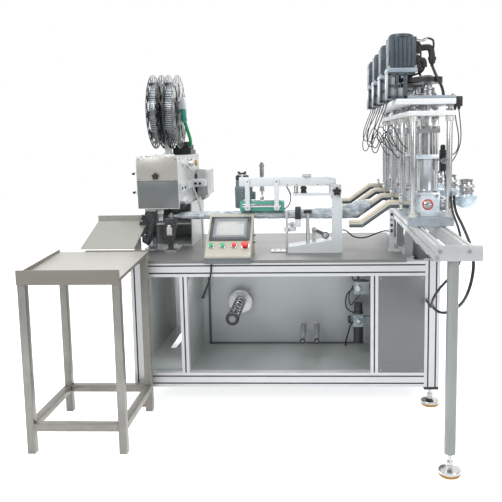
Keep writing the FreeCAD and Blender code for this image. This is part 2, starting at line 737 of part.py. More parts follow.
def make_sealer_arm():
    """The arm that lifts, its two hangers, the air cylinder, and the heated head that slides under it."""
    front = arm_front_y
    back = arm_back_y
    arm = box(arm_left_x, arm_pivot_x - 18, front, back, arm_bottom_z, arm_bottom_z + arm_height)
    lug = box(arm_pivot_x - 18, arm_pivot_x + 14, front, back, arm_pivot_z - 14, arm_pivot_z + 14)
    lug = lug.cut(rod(V(arm_pivot_x, front - 1, arm_pivot_z), Y_AXIS, arm_pin_radius + running_gap, 40))
    cylinder_x = head_left_x + 125.0
    cylinder = tube(V(cylinder_x, film_y - 48, arm_bottom_z - 30), Z_AXIS, 12, 5.1, 60)
    barrel = rod(V(cylinder_x, film_y - 48, arm_bottom_z + 30), Z_AXIS, 12, 96)
    add("sealer_arm", fuse(arm, lug, cylinder, barrel, rod(V(stand_left_x + 110, (front + back) / 2, arm_bottom_z + arm_height),
                                                           Z_AXIS, 23, 14)))
    for x in (head_left_x + 43, head_left_x + 208):
        add("sealer_arm", box(x - 13, x + 13, front - 8, front, head_bottom_z + 8, arm_bottom_z + 40))
    head_front = front + 0.3
    block = box(head_left_x, head_left_x + head_length, head_front + 8, film_y + 34, head_bottom_z,
                head_bottom_z + head_height)
    bar = box(head_left_x + 10, head_left_x + head_length - 12, head_front, head_front + 8,
              head_bottom_z + 22, head_bottom_z + 42)
    piston = rod(V(cylinder_x, film_y - 48, head_bottom_z + head_height), Z_AXIS, 5,
                 arm_bottom_z - head_bottom_z - head_height - 30 + 14)
    clevis = box(cylinder_x - 14, cylinder_x + 14, film_y - 60, film_y - 36, head_bottom_z + head_height,
                 head_bottom_z + head_height + 22)
    add("seal_head", fuse(block, bar, clevis, piston))
    heater_x = head_left_x + 20
    heater_y = film_y + 90
    heater = fuse(
        rod(V(heater_x, heater_y, 1066), Z_AXIS, 52, 120),
        rod(V(heater_x, heater_y, 1186), Z_AXIS, 46, 46),
        box(heater_x - 10, heater_x + 40, film_y + 34, heater_y, 1072, 1106),
    )
    add("seal_head", heater)
    knob_x = column_left_x + 30
    knob_z = column_top_z + 38
    knob_face = sealer_front_y - 4.3
    knob_stud = rod(V(knob_x, knob_face - 4, knob_z), Y_AXIS, knob_stud_radius, 16)
    add("height_knob", fuse(star_knob(knob_x, knob_face, knob_z, 24, 16), knob_stud))
    wing_x = arm_left_x + 16
    wing_z = arm_bottom_z + arm_height
    middle_y = (front + back) / 2
    add("sealer_arm", fuse(rod(V(wing_x, middle_y, wing_z), Z_AXIS, 6, 18),
                           box(wing_x - 18, wing_x + 18, middle_y - 4, middle_y + 4, wing_z + 12, wing_z + 24)))


def make_forming_parts():
    """The support plate with its foot and clamp, and the black ring round the film."""
    table = frame_top + top_thickness
    left = stand_left_x - 12
    upright = box(left, stand_left_x, film_y - 60, film_y - 36, table, 1062)
    foot = box(left - 86, left, film_y - 60, film_y + 20, table, table + 7)
    clamp = box(left - 10, left + 50, film_y - 70, film_y - 36, 944, 968)
    lug = box(stand_left_x, stand_left_x + 32, film_y - 64, film_y - 40, 976, 992)
    add("table_brackets", fuse(upright, foot, clamp, lug))
    outer = rod(V(ring_x, film_y, film_z), X_AXIS, 44, ring_length)
    inner = rod(V(ring_x - 1, film_y, film_z), X_AXIS, 37, ring_length + 2)
    stem = box(ring_x, ring_x + ring_length, film_y - 70, film_y - 41, film_z - 66, film_z - 44)
    web = box(ring_x, ring_x + ring_length, film_y - 52, film_y - 30, film_z - 66, film_z - 24)
    clear = rod(V(ring_x - 1, film_y, film_z), X_AXIS, 37, ring_length + 2)
    ring = fuse(outer.cut(inner), web.cut(clear), stem)
    link = box(stand_left_x + 32, ring_x + 20, film_y - 64, film_y - 41, film_z - 60, film_z - 46)
    add("table_brackets", fuse(ring, link))


def make_dancer():
    """The swinging arm with the white roller that keeps the film tight."""
    tip_x = dancer_x + dancer_length * math.cos(math.radians(dancer_angle))
    tip_z = dancer_z - dancer_length * math.sin(math.radians(dancer_angle))
    front = film_y - 30
    eye = rod(V(dancer_x, front, dancer_z), Y_AXIS, 14, 10)
    tip = rod(V(tip_x, front, tip_z), Y_AXIS, 10, 10)
    bar = box(dancer_x, dancer_x + dancer_length, front, front + 10, dancer_z - 10, dancer_z + 10)
    bar.rotate(V(dancer_x, front, dancer_z), Y_AXIS, dancer_angle)
    axle = rod(V(tip_x, front - 22, tip_z), Y_AXIS, 4, 24)
    head = rod(V(tip_x, front - 26, tip_z), Y_AXIS, 8, 4)
    arm = fuse(eye, tip, bar)
    arm = arm.cut(rod(V(dancer_x, front - 1, dancer_z), Y_AXIS, 6 + running_gap, 12))
    add("dancer_arm", fuse(arm, axle, head))
    add("dancer_roller", tube(V(tip_x, front - 21.7, tip_z), Y_AXIS, dancer_roller_radius, 4 + running_gap, 21.4))
    return tip_x, tip_z


def make_film():
    """The film tube: flat where it is free, and gathered to a point under the clipper."""
    sections = [
        (film_left_x, 5, 5, 1031),
        (240, 24, 15, 1034),
        (300, film_half_width, 20, film_z - 1),
        (stand_left_x + 12, film_half_width, 22, film_z),
        (ring_x + 42, film_half_width, 23, film_z + 1),
        (nozzle_tip_x - 19, film_half_width, 25, film_z + 2),
    ]
    wires = []
    for x, half_y, half_z, z in sections:
        if half_y > half_z:
            ellipse = Part.Ellipse(V(x, film_y + half_y, z), V(x, film_y, z + half_z), V(x, film_y, z))
            wires.append(Part.Wire(ellipse.toShape()))
        else:
            circle = Part.Circle(V(x, film_y, z), X_AXIS, half_y)
            wires.append(Part.Wire(circle.toShape()))
    add("film_tube", Part.makeLoft(wires, True, True))


def make_beams():
    """Two rails above the frame, their posts, the end plate and the leg with its foot."""
    xs = (beam_left_x, beam_left_x + beam_width + beam_gap)
    low = beam_top_z - beam_height
    for x in xs:
        bar = box(x, x + beam_width, beam_front_y, beam_back_y, low, beam_top_z)
        groove = box(x + beam_width / 2 - 4, x + beam_width / 2 + 4, beam_front_y, beam_back_y,
                     beam_top_z - 8, beam_top_z)
        side = x if x == xs[0] else x + beam_width - 8
        side_groove = box(side, side + 8, beam_front_y, beam_back_y, low + 28, low + 36)
        add("pump_beams", bar.cut(groove).cut(side_groove))
    plate = box(beam_left_x, beam_left_x + end_plate_width, beam_front_y - end_plate_thickness, beam_front_y,
                low, beam_top_z)
    add("beam_supports", plate)
    for x in xs:
        add("beam_supports", rod(V(x + beam_width / 2, beam_front_y - end_plate_thickness - 5, low + 42), Y_AXIS, 8, 5))
    for y in (105.0, 480.0, 855.0):
        left_post = box(xs[0] - 4, xs[0] + 36, y, y + bar_width, frame_top, low)
        right_post = box(frame_width - bar_width, frame_width, y, y + bar_width, frame_top, low)
        add("beam_supports", left_post, right_post)
    cross = box(beam_left_x + beam_width, xs[1], leg_y - leg_radius, leg_y + leg_radius, low + 10, low + 30)
    add("pump_beams", cross)
    leg = tube(V(leg_x, leg_y, 99), Z_AXIS, leg_radius, leg_radius - 3, low + 10 - 99)
    plug = rod(V(leg_x, leg_y, 99), Z_AXIS, leg_radius - 3, 10)
    add("beam_supports", fuse(leg, plug))
    levelling_foot(leg_x, leg_y, 99)


def pump_ys():
    return [pump_first_y + pump_pitch * index for index in range(pump_count)]


def make_carriage():
    """The sliding base, its guide blocks, the columns and the two long plates that carry the drives."""
    y0 = pump_first_y - carriage_margin
    y1 = pump_ys()[-1] + carriage_margin
    base_z = beam_top_z + base_gap
    base_top = base_z + base_thickness
    x0 = base_left_x
    x1 = base_left_x + base_width
    base = box(x0, x1, y0, y1, base_z, base_top)
    skirt = box(x0, x1, y0, y0 + 8, beam_top_z + 4, base_z)
    add("carriage_base", fuse(base, skirt))
    for x in (beam_left_x, beam_left_x + beam_width + beam_gap):
        for y in pump_ys():
            add("carriage_base", box(x - 1, x + beam_width + 1, y - 40, y + 40, beam_top_z + 0.3, base_z))
    plates = box(x0, x1, y0, y1, lower_plate_z, lower_plate_z + lower_plate_thickness)
    upper = box(upper_plate_left_x, x1, y0, y1, upper_plate_z, upper_plate_z + upper_plate_thickness)
    drive_z = upper_plate_z + upper_plate_thickness
    drive = [box(upper_plate_left_x + 56, x1, y - 92, y + 92, drive_z, drive_z + drive_plate_thickness)
             for y in pump_ys()]
    shaft_gap = screw_shaft_radius + running_gap
    drilled_lower = plates
    drilled_upper = upper
    for y in pump_ys():
        hole = rod(V(pump_x, y, lower_plate_z - 1), Z_AXIS, shaft_gap, 200)
        drilled_lower = drilled_lower.cut(hole)
        drilled_upper = drilled_upper.cut(hole)
    add("tower_frame", drilled_lower, drilled_upper)
    for y, plate in zip(pump_ys(), drive):
        hole = rod(V(pump_x, y, drive_z - 1), Z_AXIS, shaft_gap, 200)
        housing = revolve_z(pump_x, y, [
            (shaft_gap, drive_z + drive_plate_thickness),
            (38, drive_z + drive_plate_thickness),
            (38, pulley_z - 22),
            (24, pulley_z - 22),
            (24, pulley_z - 2),
            (shaft_gap, pulley_z - 2),
        ])
        add("tower_frame", plate.cut(hole))
        add("tower_frame", housing)
    ys = [y - 75 for y in pump_ys()] + [pump_ys()[-1] + 75]
    for y in ys:
        for x in (x0 + 26, x1 - 26):
            column = rod(V(x, y, base_top), Z_AXIS, column_radius, lower_plate_z - base_top)
            stud = rod(V(x, y, lower_plate_z + lower_plate_thickness), Z_AXIS, column_radius,
                       upper_plate_z - lower_plate_z - lower_plate_thickness)
            add("tower_frame", column, stud)


def make_pumps():
    """Per pump: valve block, barrel, cap, tie rods, piston with its crosshead, screw and valve rotor."""
    base_top = beam_top_z + base_gap + base_thickness
    block_top = base_top + block_height
    valve_z = base_top + block_height / 2
    barrel_top = block_top + barrel_height
    cap_top = barrel_top + barrel_cap
    for index, y in enumerate(pump_ys()):
        number = str(index + 1)
        block = box(pump_x - block_width / 2, pump_x + block_width / 2, y - block_depth / 2, y + block_depth / 2,
                    base_top, block_top)
        block = block.cut(rod(V(pump_x, y - block_depth / 2 - 1, valve_z), Y_AXIS, rotor_radius + running_gap,
                              block_depth + 2))
        block = block.cut(rod(V(pump_x, y, valve_z), Z_AXIS, port_radius, block_height))
        block = block.cut(rod(V(pump_x - block_width, y, valve_z), X_AXIS, port_radius, 2 * block_width))
        add("pump_bodies", block)
        rotor = rod(V(pump_x, y - block_depth / 2 + 6, valve_z), Y_AXIS, rotor_radius, block_depth - 6)
        nose = rod(V(pump_x, y - block_depth / 2 - 4, valve_z), Y_AXIS, 17, 10)
        rotor = rotor.fuse(nose)
        rotor = rotor.cut(rod(V(pump_x, y, valve_z), Z_AXIS, port_radius - 2, rotor_radius + 1))
        rotor = rotor.cut(rod(V(pump_x, y, valve_z), V(-1, 0, 0), port_radius - 2, rotor_radius + 1))
        add("valve_rotors", rotor)
        add("valve_rotors", tube(V(pump_x, y - block_depth / 2, valve_z), Y_AXIS, rotor_radius, 17, 6))
        barrel = tube(V(pump_x, y, block_top), Z_AXIS, barrel_radius, barrel_bore, barrel_height)
        cap = box(pump_x - 54, pump_x + 54, y - 54, y + 54, barrel_top, cap_top)
        cap = cap.cut(rod(V(pump_x, y, barrel_top), Z_AXIS, piston_rod_radius + running_gap, barrel_cap))
        rods = []
        for dx in (-tie_rod_offset, tie_rod_offset):
            for dy in (-tie_rod_offset, tie_rod_offset):
                rods.append(rod(V(pump_x + dx, y + dy, cap_top), Z_AXIS, tie_rod_radius, lower_plate_z - cap_top))
        lower_rods = []
        for dx in (-tie_rod_offset, tie_rod_offset):
            for dy in (-tie_rod_offset, tie_rod_offset):
                lower_rods.append(rod(V(pump_x + dx, y + dy, block_top), Z_AXIS, tie_rod_radius, barrel_height))
        add("pump_bodies", barrel)
        add("pump_bodies", cap, *rods, *lower_rods)
        top_of_rod = crosshead_z + crosshead_height
        piston_top = crosshead_z - (cap_top - barrel_top) - 122.0
        piston = rod(V(pump_x, y, piston_top - piston_height), Z_AXIS, barrel_bore - running_gap, piston_height)
        stem = rod(V(pump_x, y, piston_top), Z_AXIS, piston_rod_radius, crosshead_z - piston_top)
        half = tie_rod_offset + 12
        crosshead = box(pump_x - half, pump_x + half, y - half, y + half, crosshead_z, top_of_rod)
        for dx in (-tie_rod_offset, tie_rod_offset):
            for dy in (-tie_rod_offset, tie_rod_offset):
                crosshead = crosshead.cut(rod(V(pump_x + dx, y + dy, crosshead_z), Z_AXIS,
                                              tie_rod_radius + running_gap, crosshead_height))
        bore = rod(V(pump_x, y, piston_top + 6), Z_AXIS, screw_radius + running_gap, 300)
        add("piston_" + number, fuse(piston, stem, crosshead).cut(bore))
        screw_bottom = crosshead_z - piston_stroke - 6
        screw = fuse(
            rod(V(pump_x, y, screw_bottom), Z_AXIS, screw_radius, lower_plate_z - screw_bottom),
            rod(V(pump_x, y, lower_plate_z - 10), Z_AXIS, screw_shaft_radius, pulley_z - lower_plate_z + 10),
            pulley(y),
        )
        add("drive_screw_" + number, screw)


def pulley(y):
    """The big toothed pulley, with a raised rim at each face and a hub on top."""
    rim = revolve_z(pump_x, y, [
        (0, pulley_z),
        (pulley_radius, pulley_z),
        (pulley_radius, pulley_z + 3),
        (pulley_radius - 5, pulley_z + 3),
        (pulley_radius - 5, pulley_z + pulley_height - 3),
        (pulley_radius, pulley_z + pulley_height - 3),
        (pulley_radius, pulley_z + pulley_height),
        (0, pulley_z + pulley_height),
    ])
    return rim.fuse(rod(V(pump_x, y, pulley_z + pulley_height), Z_AXIS, 20, 8))


def make_drives():
    """Servo motors on their belt housings, beside the screws."""
    drive_z = upper_plate_z + upper_plate_thickness
    half = motor_width / 2
    for y in pump_ys():
        body_z = motor_bottom_z + motor_flange_height
        body = box(motor_x - half + 6, motor_x + half - 6, y - half + 6, y + half - 6, body_z, body_z + motor_body_height)
        lid = rod(V(motor_x, y, body_z + motor_body_height), Z_AXIS, half - 12, 16)
        socket = rod(V(motor_x + half - 6, y, body_z + 74), X_AXIS, 17, 26)
        add("servo_drives", fuse(body, lid, socket))
        flange = box(motor_x - half, motor_x + half, y - half, y + half, motor_bottom_z, body_z)
        add("servo_drives", flange)
        left = motor_x - half + 2
        right = motor_x + 24
        housing = box(left, right, y - half + 4, y + half - 4, drive_z, motor_bottom_z)
        window = box(left + 14, right - 14, y - half + 3, y - half + 20, drive_z + 16, motor_bottom_z - 14)
        side_window = box(left - 1, left + 20, y - half + 24, y + half - 24, drive_z + 16, motor_bottom_z - 14)
        belt_room = box(left + 20, right + 1, y - 52, y + 52, pulley_z - 8, pulley_z + pulley_height + 8)
        add("servo_drives", housing.cut(window).cut(side_window).cut(belt_room))
        motor_pulley = rod(V(motor_x, y, pulley_z + 3), Z_AXIS, motor_pulley_radius, pulley_height - 6)
        motor_shaft = rod(V(motor_x, y, pulley_z + pulley_height - 3), Z_AXIS, 11, motor_bottom_z - pulley_z - pulley_height + 3)
        add("servo_drives", fuse(motor_pulley, motor_shaft))
        add("servo_drives", drive_belt(y))


def drive_belt(y):
    """A flat closed loop round the small motor pulley and the big screw pulley's groove."""
    z0 = pulley_z + 5
    width = pulley_height - 10
    small = motor_pulley_radius + 0.4
    large = pulley_radius - 4.6
    outer = belt_outline(y, small + belt_thickness, large + belt_thickness, z0)
    inner = belt_outline(y, small, large, z0)
    up = V(0, 0, width)
    return Part.Face(outer).extrude(up).cut(Part.Face(inner).extrude(up))


def belt_outline(y, small, large, z):
    """The closed line of two arcs and the two tangents that join them."""
    reach = pump_x - motor_x
    lean = math.asin((large - small) / reach)
    left = V(motor_x, y, z)
    right = V(pump_x, y, z)
    up = V(-math.sin(lean), math.cos(lean), 0)
    down = V(-math.sin(lean), -math.cos(lean), 0)
    edges = [
        Part.LineSegment(left + up * small, right + up * large).toShape(),
        Part.Arc(right + up * large, right + V(large, 0, 0), right + down * large).toShape(),
        Part.LineSegment(right + down * large, left + down * small).toShape(),
        Part.Arc(left + down * small, left - V(small, 0, 0), left + up * small).toShape(),
    ]
    return Part.Wire(edges)


def make_nozzles():
    """A bent square pipe and its clamp for each pump, and the round stub that joins it to the valve block."""
    base_top = beam_top_z + base_gap + base_thickness
    valve_z = base_top + block_height / 2
    half = nozzle_size / 2
    low_z = valve_z - nozzle_drop
    upper = V(nozzle_upper_bend_x, 0, valve_z)
    lower = V(nozzle_lower_bend_x, 0, low_z)
    slope = (valve_z - low_z) / (nozzle_upper_bend_x - nozzle_lower_bend_x)
    shift = half * (math.sqrt(1 + slope * slope) - 1) / slope
    stub_end = pump_x - block_width / 2
    clamp_x = pump_x - 130.0
    for y in pump_ys():
        outline = [
            (nozzle_tip_x, low_z + half),
            (nozzle_lower_bend_x - shift, low_z + half),
            (nozzle_upper_bend_x - shift, valve_z + half),
            (clamp_x - 8, valve_z + half),
            (clamp_x - 8, valve_z - half),
            (nozzle_upper_bend_x + shift, valve_z - half),
            (nozzle_lower_bend_x + shift, low_z - half),
            (nozzle_tip_x, low_z - half),
        ]
        wall = 3.0
        inner_shift = (half - wall) * (math.sqrt(1 + slope * slope) - 1) / slope
        inner = [
            (nozzle_tip_x - 1, low_z + half - wall),
            (nozzle_lower_bend_x - inner_shift, low_z + half - wall),
            (nozzle_upper_bend_x - inner_shift, valve_z + half - wall),
            (clamp_x - 7, valve_z + half - wall),
            (clamp_x - 7, valve_z - half + wall),
            (nozzle_upper_bend_x + inner_shift, valve_z - half + wall),
            (nozzle_lower_bend_x + inner_shift, low_z - half + wall),
            (nozzle_tip_x - 1, low_z - half + wall),
        ]
        pipe = prism_y(outline, y - half, y + half).cut(prism_y(inner, y - half + wall, y + half - wall))
        add("filling_nozzles", pipe)
        stub = tube(V(clamp_x + 8, y, valve_z), X_AXIS, 21, port_radius, stub_end - clamp_x - 8)
        clamp = tube(V(clamp_x - 8, y, valve_z), X_AXIS, clamp_radius, port_radius, 16)
        grip = rod(V(clamp_x, y - 6, valve_z + clamp_radius - 2), Z_AXIS, 5, 24)
        add("filling_nozzles", stub)
        add("filling_nozzles", fuse(clamp, grip))


def make_inlets():
    """The product inlet bowls on the right of the valve blocks, each with a clamp ferrule on top."""
    base_top = beam_top_z + base_gap + base_thickness
    valve_z = base_top + block_height / 2
    start = pump_x + block_width / 2
    inlet_top_z = valve_z + inlet_height
    for y in pump_ys():
        pipe = tube(V(start, y, valve_z), X_AXIS, 22, port_radius, inlet_x - start - 20)
        bowl = revolve_z(inlet_x, y, [
            (0, valve_z - 30),
            (22, valve_z - 28),
            (48, valve_z - 4),
            (58, valve_z + 30),
            (56, valve_z + 58),
            (inlet_tube_radius, valve_z + 80),
            (inlet_tube_radius, inlet_top_z - 7),
            (inlet_ferrule_radius, inlet_top_z - 3),
            (inlet_ferrule_radius, inlet_top_z),
            (inlet_bore_radius, inlet_top_z),
            (inlet_bore_radius, valve_z + 78),
            (50, valve_z + 54),
            (52, valve_z + 30),
            (42, valve_z),
            (18, valve_z - 22),
            (0, valve_z - 23),
        ])
        bowl = bowl.cut(rod(V(start, y, valve_z), X_AXIS, port_radius, inlet_x - start))
        outer_pipe = pipe.cut(revolve_z(inlet_x, y, [
            (0, valve_z - 30), (22, valve_z - 28), (48, valve_z - 4), (58, valve_z + 30), (56, valve_z + 58),
            (0, valve_z + 58)]))
        add("product_inlets", bowl.fuse(outer_pipe).removeSplitter())
        cap_z = base_top + block_height + barrel_height
        valve = box(pump_x + 64, pump_x + 100, y - 28, y + 22, base_top + 204, base_top + 352)
        lug = box(pump_x + 54, pump_x + 64, y - 12, y + 6, cap_z + 2, cap_z + barrel_cap - 2)
        add("pump_bodies", fuse(valve, lug))


def cord_path(points, radius):
    """A round cord along straight runs joined by tangent arcs as large as the runs allow."""
    edges = []
    cursor = points[0]
    for before, corner, after in zip(points, points[1:], points[2:]):
        toward = (before - corner)
        onward = (after - corner)
        reach = 0.45 * min(toward.Length, onward.Length)
        toward.normalize()
        onward.normalize()
        turn = math.pi - math.acos(max(-1.0, min(1.0, toward.dot(onward))))
        bend = reach / math.tan(turn / 2)
        start = corner + toward * reach
        end = corner + onward * reach
        centre_way = toward + onward
        centre_way.normalize()
        centre = corner + centre_way * math.sqrt(reach * reach + bend * bend)
        middle = centre - centre_way * bend
        edges.append(Part.LineSegment(cursor, start).toShape())
        edges.append(Part.Arc(start, middle, end).toShape())
        cursor = end
        print("cord bend radius", round(bend, 1))
    edges.append(Part.LineSegment(cursor, points[-1]).toShape())
    path = Part.Wire(edges)
    way = (points[1] - points[0])
    profile = Part.Wire(Part.Circle(points[0], way, radius).toShape())
    solid = path.makePipeShell([profile], True, True)
    print("cord length", round(path.Length, 1), "volume ratio",
          round(solid.Volume / (math.pi * radius * radius * path.Length), 4))
    return solid


def make_cords():
    """Three thin leads and two thick pump cables, all of them free between their two ends."""
    exit_x = column_left_x + column_width
    sealer_offsets = [(0.4, 234, 951), (15, 234, 950.6), (33, 235, 938), (50, 237, 920), (76, 239, 906),
                      (109, 241, 902), (145, 243, 908), (181, 245, 922), (215, 245, 936), (238, 245, 941.5),
                      (254.6, 245, 942)]
    sealer_points = [V(exit_x + x, y, z) for x, y, z in sealer_offsets]
    add("sealer_cable", cord_path(sealer_points, 4.0))
    console_points = [V(443, -7.5, 805.9), V(443, -8, 780), V(440, -10, 752), V(434, -6, 726), V(424, 20, 704),
                      V(408, 70, 672), V(388, 130, 634), V(366, 200, 594), V(346, 272, 560), V(328, 340, 532),
                      V(319, 398, 514), V(318, 445.6, 510)]
    add("console_cable", cord_path(console_points, 4.5))
    beam_right = beam_left_x + 2 * beam_width + beam_gap
    outer_offsets = [(34, -185, 1179.6), (34, -185, 1146), (36, -224, 1102), (37, -282, 1080), (36, -350, 1064),
                     (34, -425, 1042), (31, -500, 1022), (28, -570, 1000), (26, -632, 968), (22, -674, 924),
                     (14, -684, 868), (6, -664, 812), (0, -620, 762), (-6, -558, 718), (-12, -484, 680),
                     (-18, -400, 646), (-24, -310, 614), (-30, -216, 590), (-34, -128, 576), (-34, -52, 570),
                     (-34, -10.4, 570)]
    add("pump_cable", cord_path([V(beam_right + x, y, z) for x, y, z in outer_offsets], 7.0))
    inner_offsets = [(14, -209.6, 1179.6), (14, -209.6, 1146), (17, -244, 1100), (19, -296, 1072), (20, -356, 1046),
                     (18, -420, 1012), (14, -470, 968), (4, -504, 920), (-20, -528, 876), (-54, -540, 838),
                     (-88, -532, 798), (-108, -500, 754), (-112, -448, 712), (-104, -384, 676), (-92, -310, 646),
                     (-80, -230, 622), (-70, -146, 606), (-64, -66, 600), (-64, -10.4, 600)]
    add("beam_cable", cord_path([V(beam_right + x, y, z) for x, y, z in inner_offsets], 6.0))


def make_cable_ends():
    """The glands and clips that the free cables leave and enter."""
    beam_right = beam_left_x + 2 * beam_width + beam_gap
    column_y = pump_first_y - 75
    column_x = base_left_x + base_width - 26
    clip = fuse(
        box(column_x + 12, beam_right + 44, column_y - 9, column_y + 9, 1180, 1200),
        box(column_x + 12, beam_right + 24, column_y - 34, column_y + 9, 1180, 1200),
    )
    add("carriage_base", clip.cut(rod(V(column_x, column_y, 1170), Z_AXIS, column_radius, 40)))
    for x, z in ((beam_right - 34, 570.0), (beam_right - 64, 600.0)):
        add("beam_supports", rod(V(x, -10, z), Y_AXIS, 12, 10))
    gland_x = column_left_x + column_width + 255
    table = frame_top + top_thickness
    add("table_brackets", rod(V(gland_x, 245, 942), X_AXIS, 9, 12))
    post = fuse(box(gland_x + 12, gland_x + 38, 236, 242, table, 1060),
                box(gland_x + 12, gland_x + 72, 236, 300, table, table + 6))
    add("table_brackets", post)
    add("table_brackets", rod(V(gland_x + 25, 235.7, 1020), V(0, -1, 0), 9, 30))
    add("table_brackets", box(gland_x + 12, gland_x + 32, 206, 235.7, 930, 965))


def write_parts():
    """Move everything so that the origin is the middle of the footprint on the floor, then write the files."""
    everything = Part.Compound([solid for solids in parts.values() for solid in solids])
    bounds = everything.BoundBox
    shift = V(-(bounds.XMin + bounds.XMax) / 2, -(bounds.YMin + bounds.YMax) / 2, -bounds.ZMin)
    print("shift", [round(value, 3) for value in shift])
    print("size", round(bounds.XLength, 1), round(bounds.YLength, 1), round(bounds.ZLength, 1))
    os.makedirs("parts", exist_ok=True)
    for name, solids in parts.items():
        flat = []
        for solid in solids:
            flat.extend(solid.Solids)
        shape = Part.Compound(flat) if len(flat) > 1 else flat[0]
        shape.translate(shift)
        shape.exportStep("parts/" + name + ".step")
    print("nodes", len(parts))


make_frame()
make_table_top()
make_cabinet()
make_unwind()
make_air_unit()
make_clipper_stand()
make_clipper_head()
make_clip_tools()
make_reels()
make_clipper_services()
make_chute()
make_receiving_table()
make_console()
make_sealer_stand()
make_sealer_arm()
make_forming_parts()
make_dancer()
make_film()
make_beams()
make_carriage()
make_pumps()
make_drives()
make_nozzles()
make_inlets()
make_cords()
make_cable_ends()
write_parts()
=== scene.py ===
# %% [markdown]
# The object is a small line that fills a tube of film and clips it. Four piston pumps stand on rails at the
# right, a sealer closes the film in the middle, and a clipper at the left closes the ends with wire clips.
# This first cell loads the solids that carry everything else. They are hidden or dressed piece by piece
# below.

# %% Load the frame
import json
import math

import bmesh
import bpy
from mathutils import Matrix, Vector


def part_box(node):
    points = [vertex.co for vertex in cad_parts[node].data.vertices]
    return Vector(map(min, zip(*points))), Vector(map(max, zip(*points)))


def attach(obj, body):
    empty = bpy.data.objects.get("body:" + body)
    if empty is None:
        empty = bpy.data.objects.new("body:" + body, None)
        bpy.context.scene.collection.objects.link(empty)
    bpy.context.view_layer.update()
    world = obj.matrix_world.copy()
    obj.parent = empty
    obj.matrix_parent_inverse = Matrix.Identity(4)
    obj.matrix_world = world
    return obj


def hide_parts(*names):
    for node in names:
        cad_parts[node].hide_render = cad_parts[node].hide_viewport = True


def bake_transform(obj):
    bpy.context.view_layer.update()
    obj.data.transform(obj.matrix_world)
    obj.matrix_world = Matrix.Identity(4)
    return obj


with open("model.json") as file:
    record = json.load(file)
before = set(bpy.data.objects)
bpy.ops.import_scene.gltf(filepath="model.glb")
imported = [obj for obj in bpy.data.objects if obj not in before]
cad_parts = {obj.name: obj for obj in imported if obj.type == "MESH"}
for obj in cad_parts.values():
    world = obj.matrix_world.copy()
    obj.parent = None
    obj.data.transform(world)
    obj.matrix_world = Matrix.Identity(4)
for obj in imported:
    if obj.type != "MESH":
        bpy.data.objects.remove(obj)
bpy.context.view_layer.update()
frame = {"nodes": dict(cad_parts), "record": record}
bpy.ops.object.select_all(action="DESELECT")
print("solids", len(frame["nodes"]))

# %% [markdown]
# Every size below is a real size in millimetres, measured from the machine's own corner: X to the right
# along the front, Y away from the viewer and Z up from the floor. One function turns such a place into
# Blender's metres.

# %% Places
scene = bpy.context.scene
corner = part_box("frame_profiles")[0]
machine_width = (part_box("frame_profiles")[1].x - corner.x) * 1000
table_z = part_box("table_top")[1].z * 1000


def at(x, y, z):
    """A place in the machine's millimetres, as Blender's metres."""
    return Vector((corner.x + x / 1000, corner.y + y / 1000, z / 1000))


def placed(name, data):
    """A new object in the scene for this mesh, curve, lamp or camera."""
    obj = bpy.data.objects.new(name, data)
    scene.collection.objects.link(obj)
    return obj


def span(node):
    """A solid's lowest and highest corners in the machine's millimetres."""
    low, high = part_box(node)
    return [Vector(((p.x - corner.x) * 1000, (p.y - corner.y) * 1000, p.z * 1000)) for p in (low, high)]


print("machine width", round(machine_width), "table height", round(table_z))

# %% [markdown]
# The camera stands a little above the table and to the right of the middle, about three and a half metres
# away. A lens shift puts the picture's centre where the photograph has it, so that the upright edges stay
# nearly upright.

# %% Camera
eye = at(1010.5, -3482.5, 1480.2)
look_yaw = 0.0370
look_pitch = 0.1251
look_roll = -0.0128
focal_pixels = 659.86
picture_pixels = 502
centre_x_pixels = 292.07
centre_y_pixels = 219.45
sensor_mm = 36

camera_data = bpy.data.cameras.new("camera")
camera = placed("camera", camera_data)
camera_data.sensor_width = sensor_mm
camera_data.lens = focal_pixels / picture_pixels * sensor_mm
camera_data.shift_x = (picture_pixels / 2 - centre_x_pixels) / picture_pixels
camera_data.shift_y = (centre_y_pixels - picture_pixels / 2) / picture_pixels
forward = Vector((-math.sin(look_yaw) * math.cos(look_pitch), math.cos(look_yaw) * math.cos(look_pitch),
                  -math.sin(look_pitch)))
level_right = Vector((math.cos(look_yaw), math.sin(look_yaw), 0))
level_up = level_right.cross(forward)
right = level_right * math.cos(look_roll) + level_up * math.sin(look_roll)
up = right.cross(forward)
camera.matrix_world = Matrix.Translation(eye) @ Matrix((right, up, -forward)).transposed().to_4x4()
scene.camera = camera
print("lens", round(camera_data.lens, 1), "mm")

# %% [markdown]
# A plain studio: a pale floor, a white backdrop and broad soft lamps. The camera sees the backdrop at full
# strength, and so do metal and glass where they reflect what stands behind the machine. Bare metal needs
# something dark to reflect as well, or it turns into white paint, so the room on the viewer's side stays
# dim.

# %% Studio
scene.view_settings.view_transform = "Standard"
world = bpy.data.worlds.new("surround")
scene.world = world
world.use_nodes = True
sky = world.node_tree
sky.nodes.clear()
white = (1, 1, 1, 1)


def add_node(tree, kind, values=None, **settings):
    """A new shader node: its own settings first, then the values of its inputs."""
    node = tree.nodes.new(kind)
    for key, value in settings.items():
        setattr(node, key, value)
    for key, value in (values or {}).items():
        node.inputs[key].default_value = value
    return node


